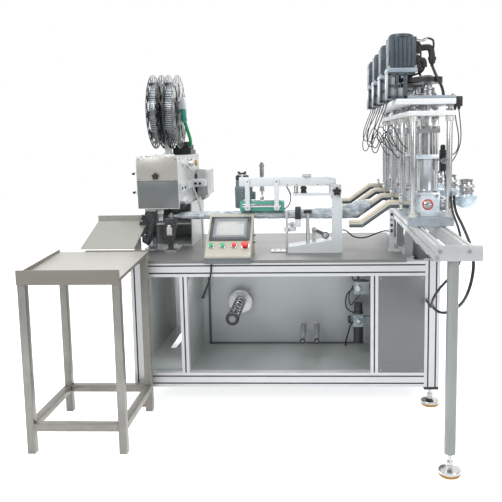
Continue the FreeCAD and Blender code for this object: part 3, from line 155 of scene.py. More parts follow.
def backdrop_share(tree, way_y, toward, away):
    """1 for camera rays, and for mirrored and bent rays that run towards the backdrop."""
    link = tree.links.new
    rays = add_node(tree, "ShaderNodeLightPath")
    bent = add_node(tree, "ShaderNodeMath", operation="MAXIMUM")
    side = add_node(tree, "ShaderNodeMapRange", {"From Min": away, "From Max": toward})
    behind = add_node(tree, "ShaderNodeMath", operation="MULTIPLY")
    share = add_node(tree, "ShaderNodeMath", operation="MAXIMUM")
    link(rays.outputs["Is Glossy Ray"], bent.inputs[0])
    link(rays.outputs["Is Transmission Ray"], bent.inputs[1])
    link(way_y, side.inputs["Value"])
    link(bent.outputs[0], behind.inputs[0])
    link(side.outputs["Result"], behind.inputs[1])
    link(rays.outputs["Is Camera Ray"], share.inputs[0])
    link(behind.outputs[0], share.inputs[1])
    return share.outputs[0]


sky_link = sky.links.new
fill = add_node(sky, "ShaderNodeBackground", {"Color": (0.93, 0.96, 1.0, 1)})
sky_way = add_node(sky, "ShaderNodeTexCoord")
sky_split = add_node(sky, "ShaderNodeSeparateXYZ")
sky_rise = add_node(sky, "ShaderNodeMapRange",
                    {"From Min": -0.05, "From Max": 0.75, "To Min": 0.16, "To Max": 0.85})
sky_link(sky_way.outputs["Generated"], sky_split.inputs[0])
sky_link(sky_split.outputs["Z"], sky_rise.inputs["Value"])
sky_link(sky_rise.outputs["Result"], fill.inputs["Strength"])
seen = add_node(sky, "ShaderNodeBackground", {"Color": white, "Strength": 1.0})
choose = add_node(sky, "ShaderNodeMixShader")
world_out = add_node(sky, "ShaderNodeOutputWorld")
sky_link(backdrop_share(sky, sky_split.outputs["Y"], 0.5, 0.0), choose.inputs[0])
sky_link(fill.outputs[0], choose.inputs[1])
sky_link(seen.outputs[0], choose.inputs[2])
sky_link(choose.outputs[0], world_out.inputs[0])


def lamp(name, place, target, width, height, watts, colour=(1, 1, 1)):
    """A rectangular soft lamp that faces the target."""
    data = bpy.data.lights.new(name, "AREA")
    data.shape = "RECTANGLE"
    data.size = width
    data.size_y = height
    data.energy = watts
    data.color = colour
    obj = placed(name, data)
    obj.location = place
    obj.rotation_euler = (Vector(target) - Vector(place)).to_track_quat("-Z", "Y").to_euler()


middle = at(800, 300, 900)
lamp("key_lamp", at(-1600, -3200, 3600), middle, 2.6, 2.0, 105)
lamp("fill_lamp", at(3600, -2800, 2400), middle, 2.4, 2.4, 34)
lamp("top_lamp", at(800, 200, 4200), middle, 3.4, 2.4, 52)
lamp("back_lamp", at(900, 3800, 2600), middle, 3.0, 1.6, 34)
lamp("left_bay_lamp", at(190, 70, 500), at(150, 700, 420), 0.16, 0.45, 1.5)
lamp("middle_bay_lamp", at(780, 60, 715), at(780, 500, 140), 0.9, 0.08, 1.8)

floor_size_m = 26
bpy.ops.mesh.primitive_plane_add(size=floor_size_m, location=(0, 0, 0))
floor = bpy.context.object
floor.name = "floor"
floor_paint = bpy.data.materials.new("floor_paint")
floor_paint.use_nodes = True
floor_tree = floor_paint.node_tree
floor_link = floor_tree.links.new
floor_shader = floor_tree.nodes["Principled BSDF"]
floor_shader.inputs["Base Color"].default_value = (0.93, 0.93, 0.93, 1)
floor_shader.inputs["Roughness"].default_value = 0.9
floor_shader.inputs["Emission Color"].default_value = white
floor_way = add_node(floor_tree, "ShaderNodeNewGeometry")
floor_split = add_node(floor_tree, "ShaderNodeSeparateXYZ")
floor_lift = add_node(floor_tree, "ShaderNodeMath", {1: 0.72}, operation="MULTIPLY")
floor_link(floor_way.outputs["Incoming"], floor_split.inputs[0])
floor_link(backdrop_share(floor_tree, floor_split.outputs["Y"], -0.5, 0.0), floor_lift.inputs[0])
floor_link(floor_lift.outputs[0], floor_shader.inputs["Emission Strength"])
floor.data.materials.append(floor_paint)
bpy.ops.object.select_all(action="DESELECT")

# %% [markdown]
# Three effects come back on many finishes, so each is a node group with its own inputs: fine lines from
# brushing or drawing, soft clouds of lighter and darker tone, and a rub of bright metal along the edges.

# %% Shared effects


def new_group(name, inputs, output):
    """A shader group with named inputs and one number as its output."""
    group = bpy.data.node_groups.new(name, "ShaderNodeTree")
    for title, kind, value in inputs:
        socket = group.interface.new_socket(name=title, in_out="INPUT", socket_type=kind)
        socket.default_value = value
    group.interface.new_socket(name=output, in_out="OUTPUT", socket_type="NodeSocketFloat")
    return group, group.nodes.new("NodeGroupInput"), group.nodes.new("NodeGroupOutput")


def brushed_lines_group():
    """Long thin streaks along one axis, as a value near 0.5."""
    sockets = [("Across", "NodeSocketVector", (1.0, 1.0, 1.0)), ("Scale", "NodeSocketFloat", 60.0)]
    group, entry, leave = new_group("brushed_lines", sockets, "Streaks")
    coords = add_node(group, "ShaderNodeTexCoord")
    stretch = add_node(group, "ShaderNodeVectorMath", operation="MULTIPLY")
    noise = add_node(group, "ShaderNodeTexNoise", {"Detail": 4.0})
    link = group.links.new
    link(coords.outputs["Object"], stretch.inputs[0])
    link(entry.outputs["Across"], stretch.inputs[1])
    link(stretch.outputs[0], noise.inputs["Vector"])
    link(entry.outputs["Scale"], noise.inputs["Scale"])
    link(noise.outputs["Fac"], leave.inputs["Streaks"])
    return group


def soft_clouds_group():
    """Broad uneven tone, as a mask from 0 to 1."""
    group, entry, leave = new_group("soft_clouds", [("Scale", "NodeSocketFloat", 5.0)], "Mask")
    coords = add_node(group, "ShaderNodeTexCoord")
    noise = add_node(group, "ShaderNodeTexNoise", {"Detail": 5.0, "Roughness": 0.6})
    spread = add_node(group, "ShaderNodeMapRange", {"From Min": 0.35, "From Max": 0.65})
    link = group.links.new
    link(coords.outputs["Object"], noise.inputs["Vector"])
    link(entry.outputs["Scale"], noise.inputs["Scale"])
    link(noise.outputs["Fac"], spread.inputs["Value"])
    link(spread.outputs["Result"], leave.inputs["Mask"])
    return group


def edge_rub_group():
    """A mask that is 1 where an outer edge is worn, broken up by noise."""
    group, entry, leave = new_group("edge_rub", [("Amount", "NodeSocketFloat", 0.5)], "Mask")
    shape = add_node(group, "ShaderNodeNewGeometry")
    coords = add_node(group, "ShaderNodeTexCoord")
    noise = add_node(group, "ShaderNodeTexNoise", {"Scale": 45.0})
    spread = add_node(group, "ShaderNodeMapRange", {"From Min": 0.54, "From Max": 0.62})
    times = add_node(group, "ShaderNodeMath", operation="MULTIPLY")
    again = add_node(group, "ShaderNodeMath", operation="MULTIPLY")
    link = group.links.new
    link(shape.outputs["Pointiness"], spread.inputs["Value"])
    link(coords.outputs["Object"], noise.inputs["Vector"])
    link(spread.outputs["Result"], times.inputs[0])
    link(noise.outputs["Fac"], times.inputs[1])
    link(times.outputs[0], again.inputs[0])
    link(entry.outputs["Amount"], again.inputs[1])
    link(again.outputs[0], leave.inputs["Mask"])
    return group


brushed_lines = brushed_lines_group()
soft_clouds = soft_clouds_group()
edge_rub = edge_rub_group()
print("shared effects", len(bpy.data.node_groups))

# %% [markdown]
# A finish is a base colour with three things laid over it: the streaks, the clouds and the worn edges. The
# shader's own numbers say how metallic and how glossy it is. Writing this once keeps some fifty finishes
# alike in make and different in look.

# %% Finishes
looks = {}


def finish(name, colour, roughness, metallic=0.0, across=(1, 1, 1), lines=0.0, line_scale=60.0, clouds=0.12,
           cloud_scale=5.0, rub=0.0, rub_colour=(0.75, 0.75, 0.74), bump=0.02, coat=0.0, tint=None):
    """Put a material with streaks, clouds and worn edges over a base colour among the looks."""
    material = bpy.data.materials.new(name)
    material.use_nodes = True
    tree = material.node_tree
    link = tree.links.new
    shader = tree.nodes["Principled BSDF"]
    shader.inputs["Metallic"].default_value = metallic
    if coat:
        shader.inputs["Coat Weight"].default_value = coat
        shader.inputs["Coat Roughness"].default_value = 0.08
    darker = tint or [c * 0.72 for c in colour]
    streaks = add_node(tree, "ShaderNodeGroup", {"Across": across, "Scale": line_scale},
                       node_tree=brushed_lines)
    cloud = add_node(tree, "ShaderNodeGroup", {"Scale": cloud_scale}, node_tree=soft_clouds)
    worn = add_node(tree, "ShaderNodeGroup", {"Amount": rub}, node_tree=edge_rub)
    weigh = add_node(tree, "ShaderNodeMath", {1: clouds * 2}, operation="MULTIPLY")
    tone = add_node(tree, "ShaderNodeMix", {"A": (*colour, 1), "B": (*darker, 1)}, data_type="RGBA")
    drawn = add_node(tree, "ShaderNodeMapRange",
                     {"From Min": 0.3, "From Max": 0.7, "To Min": 1 - lines, "To Max": 1 + lines * 0.6})
    shade = add_node(tree, "ShaderNodeVectorMath", operation="MULTIPLY")
    rubbed = add_node(tree, "ShaderNodeMix", {"B": (*rub_colour, 1)}, data_type="RGBA")
    gloss = add_node(tree, "ShaderNodeMapRange",
                     {"To Min": max(0.03, roughness - 0.06), "To Max": min(1.0, roughness + 0.10)})
    height = add_node(tree, "ShaderNodeBump", {"Strength": bump, "Distance": 0.001})
    link(cloud.outputs["Mask"], weigh.inputs[0])
    link(weigh.outputs[0], tone.inputs["Factor"])
    link(streaks.outputs["Streaks"], drawn.inputs["Value"])
    link(tone.outputs["Result"], shade.inputs[0])
    link(drawn.outputs["Result"], shade.inputs[1])
    link(worn.outputs["Mask"], rubbed.inputs["Factor"])
    link(shade.outputs[0], rubbed.inputs["A"])
    link(rubbed.outputs["Result"], shader.inputs["Base Color"])
    link(cloud.outputs["Mask"], gloss.inputs["Value"])
    link(gloss.outputs["Result"], shader.inputs["Roughness"])
    link(streaks.outputs["Streaks"], height.inputs["Height"])
    link(height.outputs["Normal"], shader.inputs["Normal"])
    looks[name] = material


def clear_film():
    """Thin clear film with pale folds and a faint blue cast."""
    material = bpy.data.materials.new("clear_film")
    material.use_nodes = True
    tree = material.node_tree
    link = tree.links.new
    shader = tree.nodes["Principled BSDF"]
    shader.inputs["Metallic"].default_value = 0.0
    shader.inputs["Roughness"].default_value = 0.16
    cloud = add_node(tree, "ShaderNodeGroup", {"Scale": 26.0}, node_tree=soft_clouds)
    streaks = add_node(tree, "ShaderNodeGroup", {"Across": (1, 7, 7), "Scale": 16.0}, node_tree=brushed_lines)
    tone = add_node(tree, "ShaderNodeMix", {"A": (0.80, 0.84, 0.86, 1), "B": (0.36, 0.43, 0.48, 1)},
                    data_type="RGBA")
    thick = add_node(tree, "ShaderNodeMapRange",
                     {"From Min": 0.35, "From Max": 0.65, "To Min": 0.45, "To Max": 0.85})
    bump = add_node(tree, "ShaderNodeBump", {"Strength": 0.5, "Distance": 0.004})
    link(cloud.outputs["Mask"], tone.inputs["Factor"])
    link(tone.outputs["Result"], shader.inputs["Base Color"])
    link(streaks.outputs["Streaks"], thick.inputs["Value"])
    link(thick.outputs["Result"], shader.inputs["Alpha"])
    link(streaks.outputs["Streaks"], bump.inputs["Height"])
    link(bump.outputs["Normal"], shader.inputs["Normal"])
    looks["clear_film"] = material


def painted_light_by_facing(material, tones):
    """Painted light: tones by how far a face looks up, as polished pipe reflects a pale room above and a dark
    floor below.
    """
    tree = material.node_tree
    link = tree.links.new
    colour = tree.nodes["Principled BSDF"].inputs["Base Color"]
    facing = add_node(tree, "ShaderNodeNewGeometry")
    split = add_node(tree, "ShaderNodeSeparateXYZ")
    share = add_node(tree, "ShaderNodeMapRange", {"From Min": -1, "From Max": 1})
    ramp = add_node(tree, "ShaderNodeValToRGB")
    stops = ramp.color_ramp.elements
    while len(stops) < len(tones):
        stops.new(0.5)
    for stop, (place, tone) in zip(stops, tones):
        stop.position = place
        stop.color = (*tone, 1)
    mix = add_node(tree, "ShaderNodeMix", {"Factor": 1}, data_type="RGBA", blend_type="MULTIPLY")
    link(facing.outputs["Normal"], split.inputs[0])
    link(split.outputs["Z"], share.inputs["Value"])
    link(share.outputs["Result"], ramp.inputs["Fac"])
    link(colour.links[0].from_socket, mix.inputs["A"])
    link(ramp.outputs["Color"], mix.inputs["B"])
    link(mix.outputs["Result"], colour)


finish("anodised_aluminium", (0.76, 0.77, 0.78), 0.36, 0.62, (1, 1, 6), 0.03, 18, rub=0.3, bump=0.01,
       clouds=0.05)
finish("black_plastic", (0.022, 0.022, 0.025), 0.42, 0.0, clouds=0.2, cloud_scale=30, rub=0.2,
       rub_colour=(0.10, 0.10, 0.10))
finish("polished_steel", (0.74, 0.74, 0.73), 0.12, 1.0, clouds=0.1, cloud_scale=12, bump=0.01)
finish("amber_rubber", (0.52, 0.27, 0.05), 0.5, 0.0, clouds=0.3, cloud_scale=25)
finish("brushed_stainless", (0.62, 0.63, 0.63), 0.26, 0.9, (1, 1, 24), 0.035, 5, clouds=0.08, cloud_scale=1.6,
       bump=0.006)
finish("dull_stainless", (0.44, 0.42, 0.39), 0.36, 0.9, (8, 8, 1), 0.14, 20, clouds=0.3, cloud_scale=6,
       rub=0.5, tint=(0.27, 0.24, 0.20))
finish("pale_stainless", (0.74, 0.73, 0.69), 0.36, 0.55, (1, 14, 14), 0.05, 12, clouds=0.12, cloud_scale=4)
finish("warm_grey_paint", (0.42, 0.40, 0.36), 0.4, 0.55, (1, 30, 1), 0.05, 12, clouds=0.1, cloud_scale=4,
       rub=0.5)
finish("light_grey_paint", (0.60, 0.61, 0.60), 0.36, 0.45, (1, 1, 14), 0.05, 12, clouds=0.12, cloud_scale=5,
       rub=0.4)
finish("cream_paint", (0.425, 0.40, 0.318), 0.42, 0.0, clouds=0.06, cloud_scale=6, line_scale=160, bump=0.06,
       rub=0.2)
finish("white_paint", (0.69, 0.72, 0.735), 0.34, 0.0, clouds=0.05, cloud_scale=7, line_scale=180, bump=0.05,
       rub=0.2, rub_colour=(0.5, 0.5, 0.5))
finish("dark_glass", (0.055, 0.065, 0.07), 0.25, 0.0, clouds=0.05, coat=0.3)
finish("green_plastic", (0.02, 0.40, 0.17), 0.25, 0.0, clouds=0.05, coat=0.5)
finish("red_plastic", (0.72, 0.025, 0.02), 0.25, 0.0, clouds=0.05, coat=0.5)
finish("blue_grey_steel", (0.33, 0.40, 0.46), 0.38, 0.5, (1, 12, 12), 0.06, 14, clouds=0.15, rub=0.5)
finish("teal_paint", (0.015, 0.30, 0.22), 0.36, 0.0, clouds=0.1, rub=0.4)
finish("black_rubber", (0.02, 0.02, 0.022), 0.5, 0.0, clouds=0.2, cloud_scale=30)
finish("black_motor_paint", (0.06, 0.08, 0.097), 0.3, 0.25, clouds=0.2, cloud_scale=14, rub=0.5,
       rub_colour=(0.28, 0.30, 0.33))
finish("machined_steel", (0.56, 0.57, 0.58), 0.24, 1.0, (1, 1, 20), 0.08, 30, clouds=0.15, cloud_scale=9)
finish("brass", (0.62, 0.42, 0.16), 0.25, 1.0, clouds=0.15, cloud_scale=20)
finish("grey_screen", (0.42, 0.43, 0.41), 0.2, 0.0, clouds=0.1, cloud_scale=8, coat=0.6)
finish("cable_black", (0.018, 0.018, 0.02), 0.45, 0.0, clouds=0.15, cloud_scale=40)
finish("clip_metal", (0.58, 0.63, 0.66), 0.3, 0.85, clouds=0.25, cloud_scale=18)
finish("hose_green", (0.01, 0.42, 0.15), 0.3, 0.0, clouds=0.1, cloud_scale=30)
finish("table_grey", (0.22, 0.22, 0.213), 0.45, 0.35, (30, 1, 1), 0.02, 4, clouds=0.06, cloud_scale=1.2,
       bump=0.004)
finish("column_steel", (0.60, 0.61, 0.61), 0.22, 0.88, (12, 12, 1), 0.03, 10, clouds=0.08, cloud_scale=6,
       rub=0.3, bump=0.004)
finish("block_steel", (0.80, 0.87, 0.93), 0.24, 0.45, (1, 1, 8), 0.02, 8, clouds=0.06, cloud_scale=9, rub=0.3,
       bump=0.004)
finish("barrel_steel", (0.54, 0.57, 0.59), 0.22, 0.6, (1, 1, 8), 0.02, 8, clouds=0.06, cloud_scale=9, rub=0.3,
       bump=0.004)
finish("chute_steel", (0.40, 0.40, 0.36), 0.36, 0.5, (20, 1, 1), 0.02, 6, clouds=0.05, cloud_scale=2,
       bump=0.004)
finish("tray_steel", (0.53, 0.51, 0.47), 0.42, 0.3, (20, 1, 1), 0.02, 6, clouds=0.04, cloud_scale=2,
       bump=0.004)
finish("bright_steel", (0.74, 0.77, 0.79), 0.2, 0.8, (1, 1, 8), 0.03, 8, clouds=0.1, cloud_scale=9, rub=0.3,
       bump=0.005)
finish("nozzle_steel", (0.78, 0.76, 0.72), 0.34, 0.35, (1, 12, 12), 0.04, 9, clouds=0.1, cloud_scale=4,
       bump=0.006)
finish("bowl_steel", (0.74, 0.86, 0.93), 0.24, 0.45, clouds=0.08, cloud_scale=8, bump=0.004)
finish("blue_grey_sheet", (0.22, 0.235, 0.235), 0.34, 0.7, (40, 1, 1), 0.05, 8, clouds=0.08, cloud_scale=3,
       bump=0.01)
finish("black_casting", (0.03, 0.032, 0.036), 0.28, 0.4, clouds=0.3, cloud_scale=22, rub=0.7,
       rub_colour=(0.42, 0.42, 0.42), bump=0.05)
finish("reel_black", (0.03, 0.03, 0.032), 0.3, 0.1, clouds=0.15, cloud_scale=16, rub=0.5,
       rub_colour=(0.2, 0.2, 0.2))
finish("leg_steel", (0.33, 0.315, 0.285), 0.38, 0.6, (14, 14, 1), 0.06, 16, clouds=0.2, cloud_scale=7,
       rub=0.3, bump=0.006)
finish("ring_red", (0.62, 0.10, 0.05), 0.3, 0.0, clouds=0.05, coat=0.4)
finish("roller_grey", (0.24, 0.25, 0.25), 0.3, 0.5, (1, 14, 1), 0.05, 10, clouds=0.1, bump=0.004)
finish("seam_dark", (0.10, 0.11, 0.11), 0.5, 0.2, clouds=0.1, cloud_scale=8)
finish("post_steel", (0.36, 0.37, 0.365), 0.34, 0.5, (12, 12, 1), 0.04, 8, clouds=0.08, bump=0.004)
finish("hose_white", (0.66, 0.68, 0.66), 0.3, 0.0, clouds=0.1, cloud_scale=30)
finish("base_grey", (0.17, 0.185, 0.19), 0.38, 0.3, clouds=0.08, cloud_scale=6)
finish("side_grey", (0.76, 0.775, 0.77), 0.36, 0.15, (1, 1, 14), 0.04, 10, clouds=0.08, cloud_scale=5,
       rub=0.3)
finish("plate_white", (0.86, 0.87, 0.87), 0.34, 0.15, (14, 1, 1), 0.04, 10, clouds=0.05, cloud_scale=5,
       rub=0.3)
finish("panel_grey", (0.235, 0.24, 0.24), 0.36, 0.55, (1, 1, 30), 0.05, 5, clouds=0.1, cloud_scale=3,
       bump=0.006)
finish("bay_steel", (0.42, 0.445, 0.44), 0.36, 0.5, (1, 1, 24), 0.04, 5, clouds=0.06, cloud_scale=2,
       bump=0.004)
finish("bezel_grey", (0.20, 0.22, 0.23), 0.35, 0.0, clouds=0.06, cloud_scale=10)
finish("blower_grey", (0.22, 0.27, 0.29), 0.36, 0.4, clouds=0.15, cloud_scale=14, rub=0.6,
       rub_colour=(0.45, 0.48, 0.5))
finish("end_grey", (0.50, 0.51, 0.51), 0.42, 0.3, clouds=0.06, cloud_scale=6, rub=0.4)
finish("dark_steel", (0.16, 0.165, 0.17), 0.32, 0.8, (1, 1, 20), 0.08, 30, clouds=0.2, rub=0.6,
       rub_colour=(0.5, 0.5, 0.5))
clear_film()
# Painted reflection on the nozzle pipes: dark below, a dark teal band, a painted white highlight where faces
# look sideways, and a tan room above.
painted_light_by_facing(looks["nozzle_steel"], [(0.0, (0.08, 0.09, 0.09)), (0.36, (0.14, 0.19, 0.20)),
                                      (0.44, (0.10, 0.11, 0.11)), (0.5, (0.95, 0.95, 0.95)),
                                      (0.62, (0.66, 0.63, 0.55)), (1.0, (0.62, 0.56, 0.44))])
# Painted shade on the tray: faces that look up keep their colour, while the lips' upright faces and the faces
# below are darkened.
painted_light_by_facing(looks["tray_steel"], [(0.0, (0.40, 0.38, 0.35)), (0.6, (0.46, 0.45, 0.42)), (0.8, (1, 1, 1))])

slot_of = {row["node"]: row["material_slot"] for row in frame["record"]["subparts"]}
own_look = {"outfeed_chute": "chute_steel", "cabinet_panels": "bay_steel", "clipper_head": "side_grey",
            "clipper_stand": "side_grey", "film_spindle": "dark_steel", "air_unit": "blower_grey",
            "guide_roller_left": "roller_grey", "guide_roller_right": "roller_grey",
            "beam_supports": "post_steel", "dancer_arm": "dark_steel",
            "table_top": "table_grey", "filling_nozzles": "nozzle_steel", "product_inlets": "bowl_steel"}
for node, obj in frame["nodes"].items():
    obj.data.materials.clear()
    obj.data.materials.append(looks[own_look.get(node, slot_of[node])])
print("finishes", len(looks))

# %% [markdown]
# Most pieces of a machine are cut from bar, turned on a lathe, folded from sheet or bent from pipe. The
# helpers below make those four kinds with Blender's own operators, and leave each piece's mesh in place
# with its object at the origin, so that patterns stay where they are when a body moves.

# %% Makers


def meshed(name, places, faces, edges=()):
    """A new object whose mesh has these places, in metres."""
    mesh = bpy.data.meshes.new(name)
    mesh.from_pydata(places, edges, faces)
    return placed(name, mesh)


def pick(*pieces):
    """Select these pieces alone, and make the first one active."""
    bpy.ops.object.select_all(action="DESELECT")
    for piece in pieces:
        piece.select_set(True)
    bpy.context.view_layer.objects.active = pieces[0]


def settle(obj, name):
    """Put the object's place into its mesh and name it."""
    pick(obj)
    bpy.ops.object.transform_apply(location=True, rotation=True, scale=True)
    obj.name = name
    obj.data.name = name
    return obj


def apply_modifier(obj, kind, **values):
    """Add one modifier with these values, and apply it."""
    bpy.context.view_layer.objects.active = obj
    modifier = obj.modifiers.new(kind.lower(), kind)
    for key, value in values.items():
        setattr(modifier, key, value)
    bpy.ops.object.modifier_apply(modifier=modifier.name)


def bevel(obj, edge, **limits):
    """Round the sharp edges by this many millimetres, where that isn't nothing."""
    if edge:
        apply_modifier(obj, "BEVEL", width=edge / 1000, segments=2, limit_method="ANGLE", **limits)


def smooth(obj, degrees=32):
    """Shade soft, with hard lines where faces meet at more than this angle."""
    pick(obj)
    bpy.ops.object.shade_smooth_by_angle(angle=math.radians(degrees))
    return obj


def block(name, low, high, edge=1.0):
    """A bar between two corners in machine millimetres, its edges rounded."""
    a, b = at(*low), at(*high)
    bpy.ops.mesh.primitive_cube_add(size=1, location=(a + b) / 2)
    obj = bpy.context.object
    obj.scale = b - a
    bevel(settle(obj, name), edge)
    return smooth(obj) if edge else obj


def rod(name, start, end, radius, edge=0.6, sides=28):
    """A round bar from one place to another, its rims rounded."""
    a, b = at(*start), at(*end)
    way = b - a
    bpy.ops.mesh.primitive_cylinder_add(vertices=sides, radius=radius / 1000, depth=way.length,
                                        location=(a + b) / 2, rotation=way.to_track_quat("Z", "Y").to_euler())
    obj = settle(bpy.context.object, name)
    bevel(obj, edge)
    return smooth(obj)


def turned(name, start, way, outline, steps=40):
    """A lathe piece. The outline lists (distance along the axis, radius), open or closed on itself."""
    points = [(radius / 1000, 0, along / 1000) for along, radius in outline]
    obj = meshed(name, points, [], [(i, i + 1) for i in range(len(points) - 1)])
    apply_modifier(obj, "SCREW", steps=steps, render_steps=steps, use_merge_vertices=True,
                   merge_threshold=0.00001, use_normal_calculate=True)
    obj.rotation_euler = Vector(way).to_track_quat("Z", "Y").to_euler()
    obj.location = at(*start)
    settle(obj, name)
    bpy.ops.object.mode_set(mode="EDIT")
    bpy.ops.mesh.select_all(action="SELECT")
    bpy.ops.mesh.remove_doubles(threshold=0.00001)
    bpy.ops.mesh.normals_make_consistent(inside=False)
    bpy.ops.object.mode_set(mode="OBJECT")
    return smooth(obj, 30)


def plate(name, points, thickness, edge=0.8):
    """A flat piece cut to an outline of machine places, given its thickness towards its back."""
    obj = meshed(name, [at(*p) for p in points], [list(range(len(points)))])
    apply_modifier(obj, "SOLIDIFY", thickness=thickness / 1000, offset=-1, use_even_offset=True)
    bevel(obj, edge)
    return smooth(settle(obj, name))


def joined(name, pieces):
    """Several pieces of one finish made into one."""
    pick(*pieces)
    bpy.ops.object.join()
    obj = bpy.context.object
    obj.name = name
    obj.data.name = name
    bpy.ops.object.select_all(action="DESELECT")
    return obj


def dress(obj, look, body, nodes=()):
    """Give a piece its finish, the body it rides on and the solids it stands for."""
    obj.data.materials.clear()
    obj.data.materials.append(looks[look])
    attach(obj, body)
    if nodes:
        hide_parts(*nodes)
    return obj


def twin(obj, name, shift):
    """A copy of a piece with a mesh of its own, moved by millimetres."""
    mesh = obj.data.copy()
    mesh.transform(Matrix.Translation(Vector(shift) / 1000))
    return placed(name, mesh)


def copies(obj, name, shifts):
    """A piece and its moved copies, joined into one."""
    return joined(name, [obj] + [twin(obj, name, shift) for shift in shifts])


def everywhere(obj, name, places):
    """A piece made at the first place, copied to the others."""
    first = Vector(places[0])
    return copies(obj, name, [Vector(place) - first for place in places[1:]])


def ring_of(obj, name, centre, way, count):
    """Copies of a piece turned evenly round an axis, joined into one."""
    hub = Matrix.Translation(at(*centre))
    made = [obj]
    for index in range(1, count):
        other = twin(obj, name, (0, 0, 0))
        turn = Matrix.Rotation(2 * math.pi * index / count, 4, Vector(way))
        other.data.transform(hub @ turn @ hub.inverted())
        made.append(other)
    return joined(name, made)


def cut(obj, tool, edge=0):
    """Take one piece out of another, then round the new edges."""
    apply_modifier(obj, "BOOLEAN", object=tool, operation="DIFFERENCE", solver="EXACT")
    bpy.data.objects.remove(tool, do_unlink=True)
    bevel(obj, edge, angle_limit=math.radians(40))
    return smooth(obj)


def screws(name, places, way, radius=5.0, height=5.0):
    """Socket-head screws: one turned head with its round socket, copied to every place."""
    outline = [(0, 0), (0, radius), (height - 0.8, radius), (height, radius - 0.8), (height, radius * 0.56),
               (height * 0.4, radius * 0.5), (height * 0.4, 0)]
    return everywhere(turned(name, places[0], way, outline, 14), name, places)


def nuts(name, places, way, radius=9.0, height=8.0, stud=4.0):
    """Hexagon nuts, each on the end of its stud."""
    outline = [(0, 0), (0, radius), (height, radius), (height, radius * 0.62), (height + stud, radius * 0.55),
               (height + stud, 0)]
    return everywhere(turned(name, places[0], way, outline, 6), name, places)


def cable_curve(name, points, radius):
    """A round cable whose points are the control points of one smooth curve, in machine millimetres."""
    curve = bpy.data.curves.new(name, "CURVE")
    curve.dimensions = "3D"
    curve.bevel_depth = radius / 1000
    curve.bevel_resolution = 3
    curve.resolution_u = 8
    curve.use_fill_caps = True
    spline = curve.splines.new("NURBS")
    spline.points.add(len(points) - 1)
    for point, place in zip(spline.points, points):
        point.co = (*at(*place), 1)
    spline.order_u = 3
    spline.use_endpoint_u = True
    return placed(name, curve)


def lead(name, points, radius):
    """A bent pipe or a fixed lead, as a mesh."""
    pick(cable_curve(name, points, radius))
    bpy.ops.object.convert(target="MESH")
    return smooth(bpy.context.object, 60)


def coil(name, centre, radius, z0, z1, turns, wire):
    """An upright coil spring."""
    points = []
    for step in range(turns * 8 + 1):
        turn = step * math.pi / 4
        points.append((centre[0] + radius * math.cos(turn), centre[1] + radius * math.sin(turn),
                       z0 + (z1 - z0) * step / (turns * 8)))
    return lead(name, points, wire)


print("makers ready")

# %% [markdown]
# The four pumps are alike. Each piece is made once, at the front pump, and copied back along the carriage.
# The drive at the top is a dark finned motor on a pale flange, a black housing with windows, a toothed belt
# and a big pulley.

# %% Pump drives
pump_x = 1570
pump_y = -110
pump_spacing = 400
station_shifts = [(0, pump_spacing * index, 0) for index in range(1, 4)]
motor_x = 1437
motor_low = 1807
motor_high = 1957
flange_low = 1785
drive_plate_top = 1671
high_plate_top = 1656
high_plate_foot = 1628
low_plate_top = 1597
low_plate_foot = 1573
barrel_foot = 1192
valve_z = 1132
carriage_top = 1072
upward = (0, 0, 1)
downward = (0, 0, -1)
forward_way = (0, -1, 0)
right_way = (1, 0, 0)
left_way = (-1, 0, 0)


def station(name, pieces, look, nodes=(), body="carriage"):
    """Join pieces made at the front pump, copy them to the other three, and dress them."""
    return dress(copies(joined(name, pieces), name, station_shifts), look, body, nodes)


case = [block("motor_core", (motor_x - 61, pump_y - 61, motor_low),
              (motor_x + 61, pump_y + 61, motor_high), 5)]
for step in range(6):
    offset = -50 + 20 * step
    case.append(block("motor_rib", (motor_x + offset - 6, pump_y - 67, motor_low + 5),
                      (motor_x + offset + 6, pump_y + 67, motor_high - 5), 2))
    case.append(block("motor_rib", (motor_x - 67, pump_y + offset - 6, motor_low + 5),
                      (motor_x + 67, pump_y + offset + 6, motor_high - 5), 2))
case.append(turned("motor_lid", (motor_x, pump_y, motor_high), upward,
                   [(0, 0), (0, 64), (5, 64), (7, 60), (12, 59), (16, 52), (16, 0)]))
fittings = [
    block("motor_socket", (1502, pump_y - 24, 1880), (1534, pump_y + 14, 1928), 4),
    lead("motor_elbow", [(1530, pump_y - 4, 1906), (1562, pump_y - 4, 1912), (1588, pump_y - 6, 1904),
                         (1590, pump_y - 8, 1852)], 16),
    turned("motor_gland", (1590, pump_y - 8, 1862), downward,
           [(0, 0), (0, 20), (16, 20), (18, 16), (28, 16), (34, 9), (44, 8), (44, 0)]),
    block("brake_socket", (1502, pump_y - 42, 1824), (1526, pump_y - 12, 1860), 3),
    lead("brake_elbow", [(1524, pump_y - 27, 1844), (1540, pump_y - 27, 1850), (1550, pump_y - 27, 1836),
                         (1550, pump_y - 27, 1812)], 13),
    turned("top_gland", (1512, pump_y - 4, 1926), upward,
           [(0, 0), (0, 18), (14, 18), (18, 12), (32, 11), (32, 0)]),
    lead("plug_lead", [(1560, pump_y - 20, 1952), (1586, pump_y - 20, 1950), (1598, pump_y - 16, 1930),
                       (1594, pump_y - 10, 1896)], 5),
    lead("motor_lead", [(1590, pump_y - 8, 1822), (1594, pump_y - 46, 1792), (1608, pump_y - 84, 1744),
                        (1630, pump_y - 86, 1704), (1636, pump_y - 78, 1671)], 7),
    lead("brake_lead", [(1550, pump_y - 27, 1816), (1548, pump_y - 8, 1794), (1520, pump_y + 22, 1782),
                        (1490, pump_y + 42, 1776), (1461, pump_y + 48, 1774)], 5),
]
for dx in (-57, 57):
    for dy in (-57, 57):
        case.append(rod("motor_post", (motor_x + dx, pump_y + dy, motor_low),
                        (motor_x + dx, pump_y + dy, motor_high - 2), 11, 3, 20))
